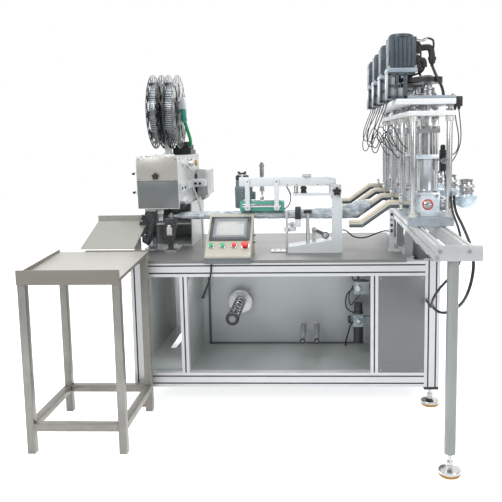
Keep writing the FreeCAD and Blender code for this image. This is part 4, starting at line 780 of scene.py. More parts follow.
connectors = [turned("motor_plug", (1500, pump_y - 20, 1944), right_way,
                     [(0, 0), (0, 9), (10, 9), (12, 12), (26, 12), (28, 8), (40, 8), (40, 0)], 16),
              turned("motor_plug", (1540, pump_y - 20, 1944), (0.4, 0, 0.2),
                     [(0, 0), (0, 11), (16, 11), (18, 7), (26, 7), (26, 0)], 16)]
station("motor_plugs", connectors, "polished_steel")
station("motor_cases", case, "black_motor_paint", ["servo_drives"])
station("motor_sockets", fittings, "cable_black")
flange = block("motor_flange", (motor_x - 73, pump_y - 73, flange_low),
               (motor_x + 73, pump_y + 73, motor_low), 5)
station("motor_flanges", [flange], "blue_grey_steel")
flange_corners = [(motor_x + dx, pump_y + dy, motor_low) for dx in (-64, 64) for dy in (-64, 64)]
station("motor_screws", [screws("motor_screw", flange_corners, upward, 6.5, 8)], "machined_steel")
frames = []
for y0, y1 in ((-69, -54), (54, 69)):
    for x0, x1, z0, z1 in ((1366, 1461, 1656, 1672), (1366, 1461, 1770, flange_low), (1366, 1382, 1660, 1780),
                           (1443, 1461, 1660, 1780), (1406, 1418, 1660, 1780), (1370, 1414, 1712, 1726)):
        frames.append(block("belt_frame", (x0, pump_y + y0, z0), (x1, pump_y + y1, z1), 2))
frames.append(block("belt_wall", (1366, pump_y - 60, 1656), (1374, pump_y + 60, flange_low), 2))
frames.append(block("belt_roof", (1368, pump_y - 66, 1776), (1460, pump_y + 66, flange_low), 1))
frames.append(block("belt_sole", (1368, pump_y - 66, 1656), (1460, pump_y + 66, 1664), 1))
station("belt_housings", frames, "black_motor_paint")
station("belt_inner", [block("belt_liner", (1376, pump_y - 53, 1664), (1404, pump_y + 53, 1776), 2),
                       block("belt_liner", (1404, pump_y - 53, 1664), (1456, pump_y - 46, 1712), 2)],
        "light_grey_paint")
small_pulley = turned("small_pulley", (motor_x, pump_y, 1735), upward,
                      [(0, 0), (0, 28), (3, 28), (3, 24), (25, 24), (25, 28), (28, 28), (28, 12), (52, 11),
                       (52, 0)])
station("small_pulleys", [small_pulley], "machined_steel")


def belt_ring(low, high, steps=26):
    """The outline of a belt round the small and the big pulley, as places at one height."""
    reach = pump_x - motor_x
    lean = math.asin((high - low) / reach)
    ring = []
    for step in range(steps + 1):
        turn = math.pi / 2 + lean + (math.pi - 2 * lean) * step / steps
        ring.append((motor_x + low * math.cos(turn), pump_y + low * math.sin(turn)))
    for step in range(steps * 2 + 1):
        turn = -math.pi / 2 - lean + (math.pi + 2 * lean) * step / (steps * 2)
        ring.append((pump_x + high * math.cos(turn), pump_y + high * math.sin(turn)))
    return ring


def band(name, ring, z0, z1, thickness):
    """A closed strip that stands on an outline."""
    count = len(ring)
    places = [at(x, y, z) for z in (z0, z1) for x, y in ring]
    faces = [(i, (i + 1) % count, (i + 1) % count + count, i + count) for i in range(count)]
    obj = meshed(name, places, faces)
    apply_modifier(obj, "SOLIDIFY", thickness=thickness / 1000, offset=0)
    return smooth(settle(obj, name), 40)


station("belts", [band("belt", belt_ring(26, 72), 1739, 1759, 3)], "black_rubber")

pulley_outline = [(0, 0), (0, 75), (3, 75), (3, 70), (27, 70), (27, 75), (30, 75), (30, 66), (25, 62),
                  (25, 30), (38, 26), (38, 14), (40, 12), (40, 0)]
screw_outline = [(0, 0), (0, 10)]
for turn in range(16):
    screw_outline += [(turn * 10 + 5, 10), (turn * 10 + 7, 8.6), (turn * 10 + 10, 10)]
screw_outline += [(179, 10), (179, 13), (350, 13), (350, 0)]
pulley = turned("pulley", (pump_x, pump_y, 1734), upward, pulley_outline, 56)
hub_screws = ring_of(screws("hub_screw", [(pump_x + 20, pump_y, 1770)], upward, 3.5, 3), "hub_screw",
                     (pump_x, pump_y, 1734), upward, 6)
tooth = block("tooth", (pump_x + 70, pump_y - 2, 1737), (pump_x + 71.6, pump_y + 2, 1761), 0)
teeth = ring_of(tooth, "teeth", (pump_x, pump_y, 1734), upward, 44)
shaft = turned("screw", (pump_x, pump_y, 1384), upward, screw_outline, 20)
pulley = joined("pulley", [pulley, teeth])
for index in range(4):
    shift = (0, pump_spacing * index, 0)
    body = f"drive_screw_{index + 1}"
    dress(twin(pulley, f"big_pulley_{index + 1}", shift), "dark_steel", body, [body])
    dress(joined(f"screw_shaft_{index + 1}", [twin(shaft, "shaft", shift), twin(hub_screws, "hub", shift)]),
          "machined_steel", body)
for spare in (pulley, shaft, hub_screws):
    bpy.data.objects.remove(spare, do_unlink=True)
print("drives done")

# %% [markdown]
# Two long plates and four drive plates carry the drives. Ten round columns stand under them, each with a
# collar at its foot and its head, and a nut between the plates.

# %% Tower frame
tower_front = -205
tower_back = 1185
low_plate = block("low_plate", (1466, tower_front, low_plate_foot), (1695, tower_back, low_plate_top), 3)
high_plate = block("high_plate", (1405, tower_front, high_plate_foot), (1695, tower_back, high_plate_top), 3)
dress(joined("long_plates", [low_plate, high_plate]), "plate_white", "carriage",
      ["tower_frame"])
drive_plate = block("drive_plate", (1461, pump_y - 92, high_plate_top), (1695, pump_y + 92, drive_plate_top),
                    3)
bearing = turned("bearing", (pump_x, pump_y, drive_plate_top), upward,
                 [(0, 13.2), (0, 46), (8, 46), (10, 38), (28, 38), (30, 34), (34, 38), (41, 38), (43, 25),
                  (58, 24), (60, 13.2)], 32)
bearing_nut = nuts("bearing_nut", [(pump_x + 34, pump_y - 34, drive_plate_top),
                                   (pump_x - 34, pump_y - 34, drive_plate_top)], upward, 8, 9, 6)
station("drive_plates", [drive_plate], "blue_grey_steel")
plate_screws = screws("plate_screw", [(1475, pump_y - 80, drive_plate_top),
                                      (1681, pump_y - 80, drive_plate_top),
                                      (1475, pump_y + 80, drive_plate_top),
                                      (1681, pump_y + 80, drive_plate_top)], upward, 7, 8)
station("bearings", [bearing, bearing_nut, plate_screws], "machined_steel")
column_x = (1492, 1669)
column_y = [pump_y - 75 + pump_spacing * index for index in range(4)] + [1165]
columns = []
collars = []
gap_nuts = []
for x in column_x:
    for y in column_y:
        columns.append(rod("column", (x, y, carriage_top), (x, y, low_plate_foot), 15, 0.6, 24))
        columns.append(rod("stud", (x, y, low_plate_top), (x, y, high_plate_foot), 10, 0.4, 16))
        collars.append(turned("collar", (x, y, carriage_top), upward,
                              [(0, 15), (0, 25), (7, 25), (10, 20), (26, 20), (28, 15)], 24))
        collars.append(turned("collar", (x, y, 1545), upward, [(0, 15), (2, 21), (26, 21), (28, 15)], 24))
        gap_nuts += [(x, y, low_plate_top), (x, y, 1617)]
dress(joined("columns", columns), "column_steel", "carriage")
dress(joined("collars", collars), "pale_stainless", "carriage")
dress(nuts("gap_nuts", gap_nuts, upward, 20, 10, 0.5), "machined_steel", "carriage")
edge_screws = [(1695, y + dy, z) for y in column_y for dy in (-14, 14) for z in (1585, 1642)
               if tower_front + 8 < y + dy < tower_back - 8]
dress(screws("edge_screws", edge_screws, right_way, 5, 3), "machined_steel", "carriage")

# %% [markdown]
# Under the plates each pump has a bright valve block with a red ring, a steel barrel between four tie rods,
# and a crosshead that rides on the same rods. Small air valves with gauges stand at the right of each
# barrel.

# %% Pump bodies
y0, y1 = pump_y - 56, pump_y + 56
valve_block = cut(block("valve_block", (1510, y0, carriage_top), (1630, y1, barrel_foot), 0),
                  rod("bore", (pump_x, y0 - 1, valve_z), (pump_x, y1 + 1, valve_z), 27.6, 0, 40), 1.6)
barrel = turned("barrel", (pump_x, pump_y, barrel_foot), upward,
                [(0, 40), (0, 52), (9, 52), (11, 45), (18, 43), (150, 43), (156, 46), (170, 46), (170, 40)],
                44)
cap = turned("cap_ring", (pump_x, pump_y, 1382), upward,
             [(0, 30.2), (0, 42), (1, 42), (1.4, 41.6), (1.4, 30.2)], 36)
cap_block = cut(block("cap_block", (pump_x - 54, pump_y - 54, 1362), (pump_x + 54, pump_y + 54, 1382), 0),
                rod("bore", (pump_x, pump_y, 1350), (pump_x, pump_y, 1400), 30.3, 0, 36), 1.2)
station("valve_blocks", [valve_block, cap_block], "block_steel", ["pump_bodies"])
station("barrels", [barrel, cap], "barrel_steel")
ties = []
tie_places = [(pump_x + dx, pump_y + dy) for dx in (-44, 44) for dy in (-44, 44)]
for x, y in tie_places:
    ties.append(rod("tie_rod", (x, y, barrel_foot), (x, y, low_plate_foot), 6, 0.3, 16))
ties.append(nuts("tie_nut", [(x, y, z) for x, y in tie_places for z in (barrel_foot, 1351, 1560)], upward,
                 10.5, 10, 1))
block_corners = [(pump_x + dx, y0, valve_z + dz) for dx in (-45, 45) for dz in (-45, 45)]
ties.append(screws("block_screw", block_corners, forward_way, 9.5, 5))
station("tie_rods", ties, "polished_steel")
air_parts = [
    block("air_valve", (1636, pump_y - 22, 1296), (1666, pump_y + 16, 1404), 3),
    block("air_foot", (1622, pump_y - 12, 1364), (1640, pump_y + 6, 1380), 1),
    turned("air_coil", (1651, pump_y - 3, 1404), upward,
           [(0, 0), (0, 13), (20, 13), (22, 10), (26, 10), (26, 0)], 20),
    lead("air_hose", [(1651, pump_y - 22, 1316), (1651, pump_y - 44, 1314), (1654, pump_y - 52, 1280),
                      (1660, pump_y - 50, 1220), (1664, pump_y - 44, 1180), (1668, pump_y - 30, 1140)], 4),
    lead("air_hose", [(1651, pump_y - 22, 1380), (1660, pump_y - 46, 1384), (1676, pump_y - 50, 1420),
                      (1680, pump_y - 44, 1480), (1672, pump_y - 36, 1540),
                      (1660, pump_y - 30, low_plate_foot)], 4),
]
station("air_valves", air_parts, "black_plastic")
air_steel = [
    turned("gauge", (1651, pump_y - 22, 1350), forward_way,
           [(0, 0), (0, 9), (8, 9), (8, 16), (18, 16), (18, 14), (15, 13), (15, 0)], 28),
]
for z in (1320, 1380):
    air_steel.append(turned("air_port", (1666, pump_y - 3, z), right_way,
                            [(0, 0), (0, 8), (12, 8), (12, 5), (22, 5), (22, 0)], 16))
station("air_fittings", air_steel, "polished_steel")
rotor_ring = turned("rotor_ring", (pump_x, y0 + 6, valve_z), forward_way,
                    [(0, 20), (0, 27), (7, 27), (8.5, 25.5), (8.5, 21.5), (7, 20)], 40)
station("rotor_rings", [rotor_ring], "ring_red", body="valve_rotors")
rotor_cap = turned("rotor_cap", (pump_x, y0 + 4, valve_z), forward_way,
                   [(0, 0), (0, 20), (8, 20), (10, 17), (10, 0)], 32)
rotor_bar = block("rotor_bar", (pump_x - 13, y0 - 13, 1128), (pump_x + 13, y0 - 7, 1136), 1)
station("rotor_caps", [rotor_cap, rotor_bar], "polished_steel", body="valve_rotors")
guide = turned("guide", (pump_x - 44, pump_y - 44, 1510), upward,
               [(0, 6.2), (0, 13), (10, 13), (12, 10), (12, 6.2)], 20)
guides = copies(guide, "guides", [(88, 0, 0), (0, 88, 0), (88, 88, 0)])
seal = turned("rod_nut", (pump_x, pump_y, 1510), upward, [(0, 13), (0, 28), (12, 28), (15, 24), (15, 13)], 6)
crosshead_fittings = joined("crosshead", [guides, seal])
for index in range(4):
    dress(twin(crosshead_fittings, f"crosshead_fittings_{index + 1}", (0, pump_spacing * index, 0)),
          "machined_steel", f"piston_{index + 1}")
bpy.data.objects.remove(crosshead_fittings, do_unlink=True)
print("pumps done")

# %% [markdown]
# Each nozzle is a polished pipe, cut and welded at both bends, with a clamp and a wing nut. At the right of
# each valve block sits a bowl-shaped inlet, whose top ferrule carries the same kind of clamp.

# %% Nozzles and inlets
clamp_outline = [(0, 21), (0, 33), (3, 36), (13, 36), (16, 33), (16, 21)]
nozzle_clamp = turned("nozzle_clamp", (1432, pump_y, valve_z), right_way, clamp_outline, 36)
wing = [block("clamp_ear", (1433, pump_y - 7, 1162), (1447, pump_y + 7, 1182), 2),
        rod("clamp_bolt", (1440, pump_y - 20, 1174), (1440, pump_y + 22, 1174), 3.5, 0.3, 12),
        block("wing", (1436, pump_y - 30, 1162), (1444, pump_y - 20, 1188), 2)]


def mitred_pipe(name, y, line, outer, inner, sides=40):
    """A pipe along straight lines in the XZ plane, cut across at half angle where two of them meet."""
    mesh = bmesh.new()
    rings = []
    for radius in (outer, inner):
        for index, (x, z) in enumerate(line):
            here = Vector((x, z))
            before = (here - Vector(line[index - 1])).normalized() if index else None
            after = (Vector(line[index + 1]) - here).normalized() if index < len(line) - 1 else None
            along = before or after
            cut_face = (before + after).normalized() if before and after else along
            ring = []
            for side in range(sides):
                turn = 2 * math.pi * side / sides
                up = Vector((-along[1], along[0])) * math.sin(turn) * radius
                slide = -up.dot(cut_face) / along.dot(cut_face)
                place = here + up + along * slide
                ring.append(mesh.verts.new(at(place[0], y + radius * math.cos(turn), place[1])))
            rings.append(ring)
    count = len(line)
    joins = [(index, index + 1) for index in range(count - 1)]
    joins += [(index + 1, index) for index in range(count, 2 * count - 1)]
    joins += [(count, 0), (count - 1, 2 * count - 1)]
    for a, b in joins:
        for side in range(sides):
            nxt = (side + 1) % sides
            mesh.faces.new((rings[a][side], rings[a][nxt], rings[b][nxt], rings[b][side]))
    bmesh.ops.recalc_face_normals(mesh, faces=mesh.faces)
    data = bpy.data.meshes.new(name)
    mesh.to_mesh(data)
    mesh.free()
    return smooth(placed(name, data), 40)


nozzle_line = [(1179, 1032), (1243, 1032), (1384, valve_z), (1432, valve_z)]
nozzle_pipe = mitred_pipe("nozzle_pipe", pump_y, nozzle_line, 21, 18.5)
nozzle_stub = turned("nozzle_stub", (1448, pump_y, valve_z), right_way,
                     [(0, 18), (0, 21), (34, 21), (34, 18)], 32)
station("nozzle_pipes", [nozzle_pipe, nozzle_stub], "nozzle_steel", ["filling_nozzles"])
welds = []
for x, z, lean in ((1243, 1032, 17.7), (1384, valve_z, 17.7)):
    line = []
    for step in range(-6, 7):
        turn = math.radians(step * 14)
        up = 21 * math.sin(turn)
        line.append((x - up * math.tan(math.radians(lean)), pump_y - 21 * math.cos(turn), z + up))
    welds.append(lead("weld", line, 0.9))
station("nozzle_fittings", [nozzle_clamp, *wing, *welds], "polished_steel")
inlet_x = 1772
bowl_outline = [(0, 0)]
for step in range(1, 11):
    turn = math.pi / 2 * step / 10
    bowl_outline.append((58 - 58 * math.cos(turn), 58 * math.sin(turn)))
bowl_outline += [(60, 62), (68, 62), (70, 57), (72, 36), (82, 34), (82, 30), (62, 30), (40, 40), (10, 10),
                 (8, 0)]
bowl = turned("inlet_bowl", (inlet_x, pump_y, 1102), upward, bowl_outline, 48)
feed_pipe = turned("feed_pipe", (1630, pump_y, valve_z), right_way, [(0, 18), (0, 22), (92, 22), (92, 18)],
                   32)
station("inlet_bowls", [bowl, feed_pipe], "bowl_steel", ["product_inlets"])
inlet_parts = [
    turned("inlet_neck", (inlet_x, pump_y, 1180), upward,
           [(0, 30), (0, 36), (8, 36), (10, 43), (22, 43), (24, 35), (32, 35), (34, 44), (48, 44), (50, 34),
            (60, 33), (64, 36), (74, 36), (74, 24), (0, 24)], 40),
    block("inlet_ear", (inlet_x - 8, pump_y - 56, 1213), (inlet_x + 8, pump_y - 40, 1229), 2),
    rod("inlet_bolt", (inlet_x - 24, pump_y - 49, 1221), (inlet_x + 26, pump_y - 49, 1221), 4, 0.3, 12),
    block("inlet_wing", (inlet_x + 22, pump_y - 62, 1216), (inlet_x + 32, pump_y - 36, 1226), 2),
    turned("pipe_nut", (1640, pump_y, valve_z), right_way,
           [(0, 22), (0, 34), (4, 36), (26, 36), (30, 32), (30, 22)], 12),
    turned("pipe_ring", (1690, pump_y, valve_z), right_way, [(0, 22), (0, 29), (14, 29), (16, 27), (16, 22)],
           32),
]
station("inlet_fittings", inlet_parts, "polished_steel")
print("nozzles and inlets done")

# %% [markdown]
# The clipper's head is a steel box with a hinged cover in front: a warm upper sheet, a darker leaning lower
# sheet, and bright folded edges. Fittings, knobs and hoses sit on its sides, and a junction box hangs
# behind it at the right.

# %% Clipper cover
cover_sheet = block("cover_sheet", (3, 200, 1242), (234, 203, 1373), 0.8)
dress(cover_sheet, "warm_grey_paint", "clipper_cover", nodes=["clipper_cover"])
lower_sheet = plate("lower_sheet", [(3, 210, 1084), (234, 210, 1084), (234, 200, 1240), (3, 200, 1240)], 3)
dress(lower_sheet, "blue_grey_sheet", "clipper_cover")
rims = []
for x in (0, 234):
    rims.append(block("rim", (x, 199.4, 1240), (x + 3, 218, 1376), 0.9))
    rims.append(plate("rim", [(x + 3, 210, 1081), (x + 3, 218, 1081), (x + 3, 218, 1241),
                              (x + 3, 199.6, 1241)], 3, 0.5))
rims.append(block("rim", (0, 199.6, 1373), (237, 218, 1376), 0.9))
rims.append(block("rim", (0, 209.6, 1081), (237, 218, 1084), 0.9))
for x in (40, 177):
    rims.append(rod("knuckle", (x, 218, 1382.3), (x + 20, 218, 1382.3), 6, 0.5, 20))
    rims.append(block("leaf", (x, 206, 1374), (x + 20, 217, 1382), 0.6))
dress(joined("cover_rims", rims), "pale_stainless", "clipper_cover")
cover_screws = [(x, 200, z) for x in (14, 223) for z in (1362, 1252)]
dress(screws("cover_screws", cover_screws, forward_way, 4, 3), "machined_steel", "clipper_cover")
boss = turned("cover_boss", (109, 200, 1267), forward_way, [(0, 6), (0, 10), (0.25, 10), (0.25, 6)], 24)
dress(boss, "polished_steel", "clipper_cover")

# %% Clipper head fittings
head_right = 237
head_top = 1376
handle_heights = (1278, 1170)
steel = [
    turned("plug", (head_right, 470, 1330), right_way,
           [(0, 0), (0, 27), (14, 27), (16, 22), (38, 22), (42, 17), (42, 0)], 28),
    screws("head_screw", [(head_right, y, z) for y in (240, 850) for z in (1100, 1364)], right_way, 6, 4),
    screws("top_screw", [(x, y, head_top) for x in (14, 222) for y in (232, 620, 856)], upward, 5, 4),
    screws("base_screw", [(x, y, 833) for x in (20, 160) for y in (365, 465)], upward, 8, 7),
]
for z in handle_heights:
    steel.append(turned("handle_seat", (0, 300, z), left_way,
                        [(0, 0), (0, 12), (6, 12), (8, 6), (40, 5), (40, 0)], 20))
dress(joined("head_steel", steel), "polished_steel", "machine")
brass = [
    turned("brass_hex", (head_right, 590, 1326), right_way,
           [(0, 0), (0, 22), (14, 22), (16, 15), (26, 15), (28, 20), (42, 20), (42, 0)], 6),
    turned("brass_plug", (0, 300, 1232), left_way, [(0, 0), (0, 11), (9, 11), (10, 7), (15, 7), (15, 0)], 6),
    *[turned("brass_neck", (head_right, y, 1124), right_way, [(0, 0), (0, 11), (10, 11), (10, 0)], 6)
      for y in (262, 318)],
]
dress(joined("head_brass", brass), "brass", "machine")
black = [
    *[rod("handle", (-40, 276, z), (-40, 324, z), 7, 2, 20) for z in handle_heights],
    screws("bracket_screw", [(x, 590, 1198) for x in (262, 290)], forward_way, 8, 3),
    screws("bracket_screw", [(248, y, 1195) for y in (246, 330)], right_way, 8, 5),
    plate("lever", [(204, 238, 1066), (214, 238, 1056), (270, 238, 1094), (262, 238, 1110)], 12, 2),
    block("lever_foot", (head_right, 228, 1086), (262, 250, 1108), 2),
]
dress(joined("head_black", black), "black_plastic", "machine")
white = [
    block("air_bracket", (head_right, 228, 1166), (248, 424, 1224), 2),
    block("air_block", (head_right, 590, 1176), (316, 706, 1220), 2.5),
]
for y in (262, 318):
    white.append(turned("bleed_knob", (247, y, 1124), right_way,
                        [(0, 0), (0, 14), (3, 17), (14, 17), (19, 13), (20, 0)], 28))
dress(joined("head_pale", white), "white_paint", "machine")
hoses = []
for index, y in enumerate((432, 462, 500, 530)):
    hoses.append(lead("hose", [(252, y, 1224), (254, y, 1250), (250 + 8 * (index % 2), y - 10, 1276),
                               (244, y - 30, 1296), (236, y - 34, 1300)], 3))
hoses.append(lead("hose", [(258, 520, 1184), (272, 516, 1150), (290, 508, 1108), (304, 500, 1060),
                           (312, 492, 990), (316, 488, 900), (316, 488, 824)], 5))
dress(joined("head_hoses", hoses), "hose_white", "machine")
joint_box = [
    block("joint_box", (251, 699, 1104), (312, 961, 1283), 9),
    block("joint_lid", (308, 706, 1112), (319, 954, 1275), 6),
]
for index in range(5):
    y = 740 + index * 44
    joint_box.append(turned("box_gland", (282, y, 1104), downward,
                            [(0, 0), (0, 14), (12, 14), (14, 10), (22, 9), (22, 0)], 12))
dress(joined("junction_box", joint_box), "light_grey_paint", "machine", nodes=["clipper_services"])
lid_screws = [(319, y, z) for y in (718, 942) for z in (1124, 1263)]
dress(screws("lid_screws", lid_screws, right_way, 6, 2), "machined_steel", "machine")
valves = [block("valve_bar", (122, 640, head_top), (226, 830, 1404), 3),
          block("valve_end", (118, 632, head_top), (230, 642, 1420), 3),
          block("box_arm", (head_right, 730, 1130), (252, 850, 1250), 2)]
for index in range(5):
    y = 650 + index * 35
    valves.append(block("valve", (130, y, 1404), (216, y + 28, 1436), 3))
    valves.append(turned("valve_top", (150, y + 14, 1436), upward,
                         [(0, 0), (0, 10), (9, 10), (10, 7), (16, 7), (16, 0)], 12))
    valves.append(turned("valve_top", (196, y + 14, 1436), upward,
                         [(0, 0), (0, 12), (18, 12), (20, 9), (20, 0)], 16))
dress(joined("valve_island", valves), "black_plastic", "machine")

# %% [markdown]
# Under the head a steel punch comes down between two black castings. The left one and its anvil are fixed;
# the right one slides with the gate.

# %% Clipping tools
left_casting = plate("left_casting", [(24, 263, 1062), (2, 263, 965), (0, 263, 885), (36, 263, 860),
                                      (64, 263, 905), (66, 263, 950), (90, 263, 1010), (92, 263, 1062)], 14,
                     3)
tongue = plate("tongue", [(-30, 255, 930), (26, 255, 900), (40, 255, 1000), (12, 255, 1052)], 7, 2)
anvil_post = block("anvil_post", (149, 276, 833), (179, 289, 1002), 2)
dress(joined("die_castings", [left_casting, tongue, anvil_post]), "black_casting", "machine")
gate_casting = plate("gate_casting", [(134, 259, 872), (180, 259, 866), (200, 259, 938), (210, 259, 1022),
                                      (138, 259, 1022), (130, 259, 946)], 16, 3)
dress(gate_casting, "black_casting", "clip_gate")
pale_jaw = [block("pale_jaw", (150, 249, 924), (180, 260, 970), 1.6),
            block("pale_jaw", (156, 246, 948), (174, 252, 984), 1.6),
            screws("jaw_screw", [(158, 249, 934), (172, 249, 934)], forward_way, 4, 3)]
dress(joined("gate_jaw", pale_jaw), "pale_stainless", "clip_gate")
punch_plates = [block("punch_face", (92, 272, 1046), (128, 308, 1086), 2),
                block("punch_tip", (97, 278, 1004), (123, 302, 1048), 2),
                screws("punch_screw", [(101, 272, 1066), (119, 272, 1066)], forward_way, 4.5, 3)]
dress(joined("punch_plates", punch_plates), "machined_steel", "clip_punch")
tongue_screws = [(-2, 248, 944), (24, 248, 930), (8, 248, 1010)]
dress(screws("tongue_screws", tongue_screws, forward_way, 5, 4), "polished_steel", "machine")
chute_screws = [(x, 310, 1018) for x in (-230, -120, -20)]
dress(screws("chute_screws", chute_screws, forward_way, 5, 3), "machined_steel", "machine")

# %% [markdown]
# A reel has two thin openwork flanges and a wound strip of wire clips between them. The clips show as a
# ribbed band.

# %% Reels
reel_y = 520
reel_z = 1636


def reel_flange(x):
    """A thin disc with a ring of long openings and a ring of small ones near its rim."""
    disc = rod("flange", (x, reel_y, reel_z), (x + 3, reel_y, reel_z), 220, 0, 80)
    long_slot = block("slot", (x - 28, reel_y - 28, reel_z + 82), (x + 31, reel_y + 28, reel_z + 186), 25)
    small_slot = block("slot", (x - 9, reel_y - 17, reel_z + 192), (x + 12, reel_y + 17, reel_z + 210), 8.5)
    long_slots = ring_of(long_slot, "long_slots", (x, reel_y, reel_z), right_way, 9)
    small_slots = ring_of(small_slot, "small_slots", (x, reel_y, reel_z), right_way, 24)
    return cut(cut(disc, long_slots), small_slots)


for name, x in (("clip_reel_left", 41), ("clip_reel_right", 135)):
    hub = turned("hub", (x, reel_y, reel_z), right_way,
                 [(0, 10.2), (0, 62), (3, 62), (6, 45), (50, 45), (53, 62), (56, 62), (56, 10.2)], 40)
    spool = joined(name + "_spool", [reel_flange(x), reel_flange(x + 53), hub])
    dress(spool, "reel_black", name, [name])
    winding = turned("winding", (x + 5, reel_y, reel_z), right_way,
                     [(0, 46), (0, 158), (3, 161), (43, 161), (46, 158), (46, 46)], 72)
    rib = block("rib", (x + 4, reel_y - 2, reel_z + 120), (x + 52, reel_y + 2, reel_z + 176), 0)
    ribs = ring_of(rib, "ribs", (x, reel_y, reel_z), right_way, 96)
    dress(winding, "dark_steel", name)
    dress(ribs, "clip_metal", name)
post_parts = [
    block("reel_post", (98.5, 502.5, head_top), (133.5, 537.5, 1676), 2),
    block("post_foot", (90, 492, head_top), (142, 548, 1386), 2),
    block("brake_box", (200, 494, 1652), (228, 540, 1722), 3),
    block("brake_foot", (196, 506, 1618), (220, 534, 1656), 2),
]
dress(joined("reel_post", post_parts), "white_paint", "machine", nodes=["reel_stand"])
axle = [turned("reel_axle", (17, reel_y, reel_z), right_way,
               [(0, 0), (0, 20), (8, 20), (10, 10), (190, 10), (190, 0)], 24),
        screws("foot_screw", [(96, 497, 1386), (136, 543, 1386)], upward, 4, 4)]
dress(joined("reel_axle", axle), "polished_steel", "machine")
brake_tube = lead("brake_tube", [(210, 512, 1656), (213, 520, 1620), (218, 532, 1580)], 17)
dress(brake_tube, "teal_paint", "machine")
green_hose = lead("green_hose", [(218, 534, 1584), (226, 552, 1540), (232, 590, 1496), (232, 640, 1462),
                                 (226, 664, 1430)], 10)
dress(green_hose, "hose_green", "machine")
print("clipper done")

# %% [markdown]
# The separate table is a frame of square tube under a shallow tray. The tray's floor falls a little towards
# its front lip, and its right side is open.

# %% Receiving table
tray_low, tray_high = span("receiving_tray")
tray_left, tray_front, lip_foot = tray_low
tray_right, tray_back, lip_top = tray_high
front_floor = lip_foot + 30
back_floor = lip_top - 8
front_hem = front_floor - 14
back_hem = back_floor - 14
lip_x = tray_left + 2
floor_sheet = plate("tray_floor", [(tray_left, tray_front, front_floor),
                                   (tray_right, tray_front, front_floor), (tray_right, tray_back, back_floor),
                                   (tray_left, tray_back, back_floor)], 2, 0.4)
front_lip = block("front_lip", (tray_left, tray_front, lip_foot), (tray_right, tray_front + 2, lip_top), 0.6)
back_lip = block("back_lip", (tray_left + 140, tray_back - 2, back_hem), (tray_right, tray_back, lip_top),
                 0.6)
left_lip = plate("left_lip", [(lip_x, tray_front, front_hem), (lip_x, tray_back, back_hem),
                              (lip_x, tray_back, lip_top + 7), (lip_x, tray_front, lip_top - 18)], 2, 0.4)
right_hem = plate("right_hem", [(tray_right, tray_front, front_hem), (tray_right, tray_back, back_hem),
                                (tray_right, tray_back, back_floor), (tray_right, tray_front, front_floor)],
                  2, 0.4)
dress(joined("tray_sheet", [floor_sheet, front_lip, back_lip, left_lip, right_hem]), "tray_steel", "machine",
      ["receiving_tray"])
tube = 38
leg_x = (tray_left + 2, tray_right - 2 - tube)
leg_y = (tray_front + 2, tray_back - 2 - tube)
table_tubes = []
for y, top in ((leg_y[0], front_floor - 2), (leg_y[1], back_floor - 5)):
    for x in leg_x:
        table_tubes.append(block("table_leg", (x, y, 0), (x + tube, y + tube, top), 3))
    table_tubes.append(block("table_rail", (leg_x[0] + tube, y, 112), (leg_x[1], y + tube, 150), 3))
for x in leg_x:
    table_tubes.append(block("table_rail", (x, leg_y[0] + tube, 112), (x + tube, leg_y[1], 150), 3))
dress(joined("table_tubes", table_tubes), "leg_steel", "machine",
      ["receiving_frame"])

# %% [markdown]
# The console is a cream box with a touch screen: a dark bezel, a grey ring and a pale screen. Three lamp
# buttons and a red mushroom stand in steel collars below it. The helper turns flat pieces onto the sloped
# face.

# %% Console
button_row = -238
slope = math.atan2(199, 240)
panel_top = (0, 226, 1046)
panel_turn = (Matrix.Translation(at(*panel_top)) @ Matrix.Rotation(slope, 4, "X")
              @ Matrix.Translation(-at(0, 0, 0)))


def on_panel(obj):
    """Move a piece made flat (X, minus the distance down, height off the face) onto the sloped face."""
    obj.data.transform(panel_turn)
    return obj


def panel_block(name, x0, x1, down0, down1, out0, out1, edge):
    return on_panel(block(name, (x0, -down1, out0), (x1, -down0, out1), edge))


dress(panel_block("bezel", 421, 645, 25, 201, 0.2, 8, 3), "dark_glass", "machine", nodes=["touch_screen"])
ring = cut(panel_block("ring", 440, 626, 43, 183, 7, 10, 0), panel_block("hole", 455, 611, 62, 166, 5, 12, 0),
           0.8)
dress(ring, "bezel_grey", "machine")
dress(panel_block("screen", 452, 614, 60, 168, 7, 8.8, 1), "grey_screen", "machine")
panel_screws = screws("panel_screws", [(x, -down, 0) for x in (420, 646) for down in (11, 300)], upward, 4.5,
                      2)
dress(on_panel(panel_screws), "machined_steel", "machine")
collars = []
for x, radius, height in ((439, 11, 6), (501, 11, 6), (563, 11, 6), (623, 17, 2.4)):
    collars.append(turned("button_collar", (x, button_row, 0), upward,
                          [(0, radius * 0.75), (0, radius + 7), (height * 0.6, radius + 7),
                           (height, radius + 4), (height, radius * 0.75)], 32))
dress(on_panel(joined("button_collars", collars)), "polished_steel", "machine")
for node, x, look in (("start_button", 439, "green_plastic"), ("feed_button", 501, "green_plastic"),
                      ("stop_button", 563, "red_plastic")):
    button = turned(node + "_cap", (x, button_row, 0), upward,
                    [(-8, 0), (-8, 6.4), (5, 6.4), (5, 13), (12, 13), (15, 11), (17, 6), (17.6, 0)], 32)
    dress(on_panel(button), look, node, nodes=[node])
mushroom = turned("mushroom", (623, button_row, 0), upward,
                  [(-8, 0), (-8, 10), (9.5, 10), (10, 15), (12.5, 20), (17.5, 20), (21.5, 16), (23.5, 8),
                   (24, 0)], 36)
dress(on_panel(mushroom), "red_plastic", "emergency_stop", nodes=["emergency_stop"])
console_base = block("console_base", (407.5, -15.5, 806), (658.5, 0, 838), 2)
dress(console_base, "base_grey", "machine")
sockets = [turned("console_socket", (657, y, z), right_way,
                  [(0, 0), (0, 11), (8, 11), (10, 8), (16, 8), (16, 0)], 20)
           for y, z in ((130, 905), (170, 905), (150, 940))]
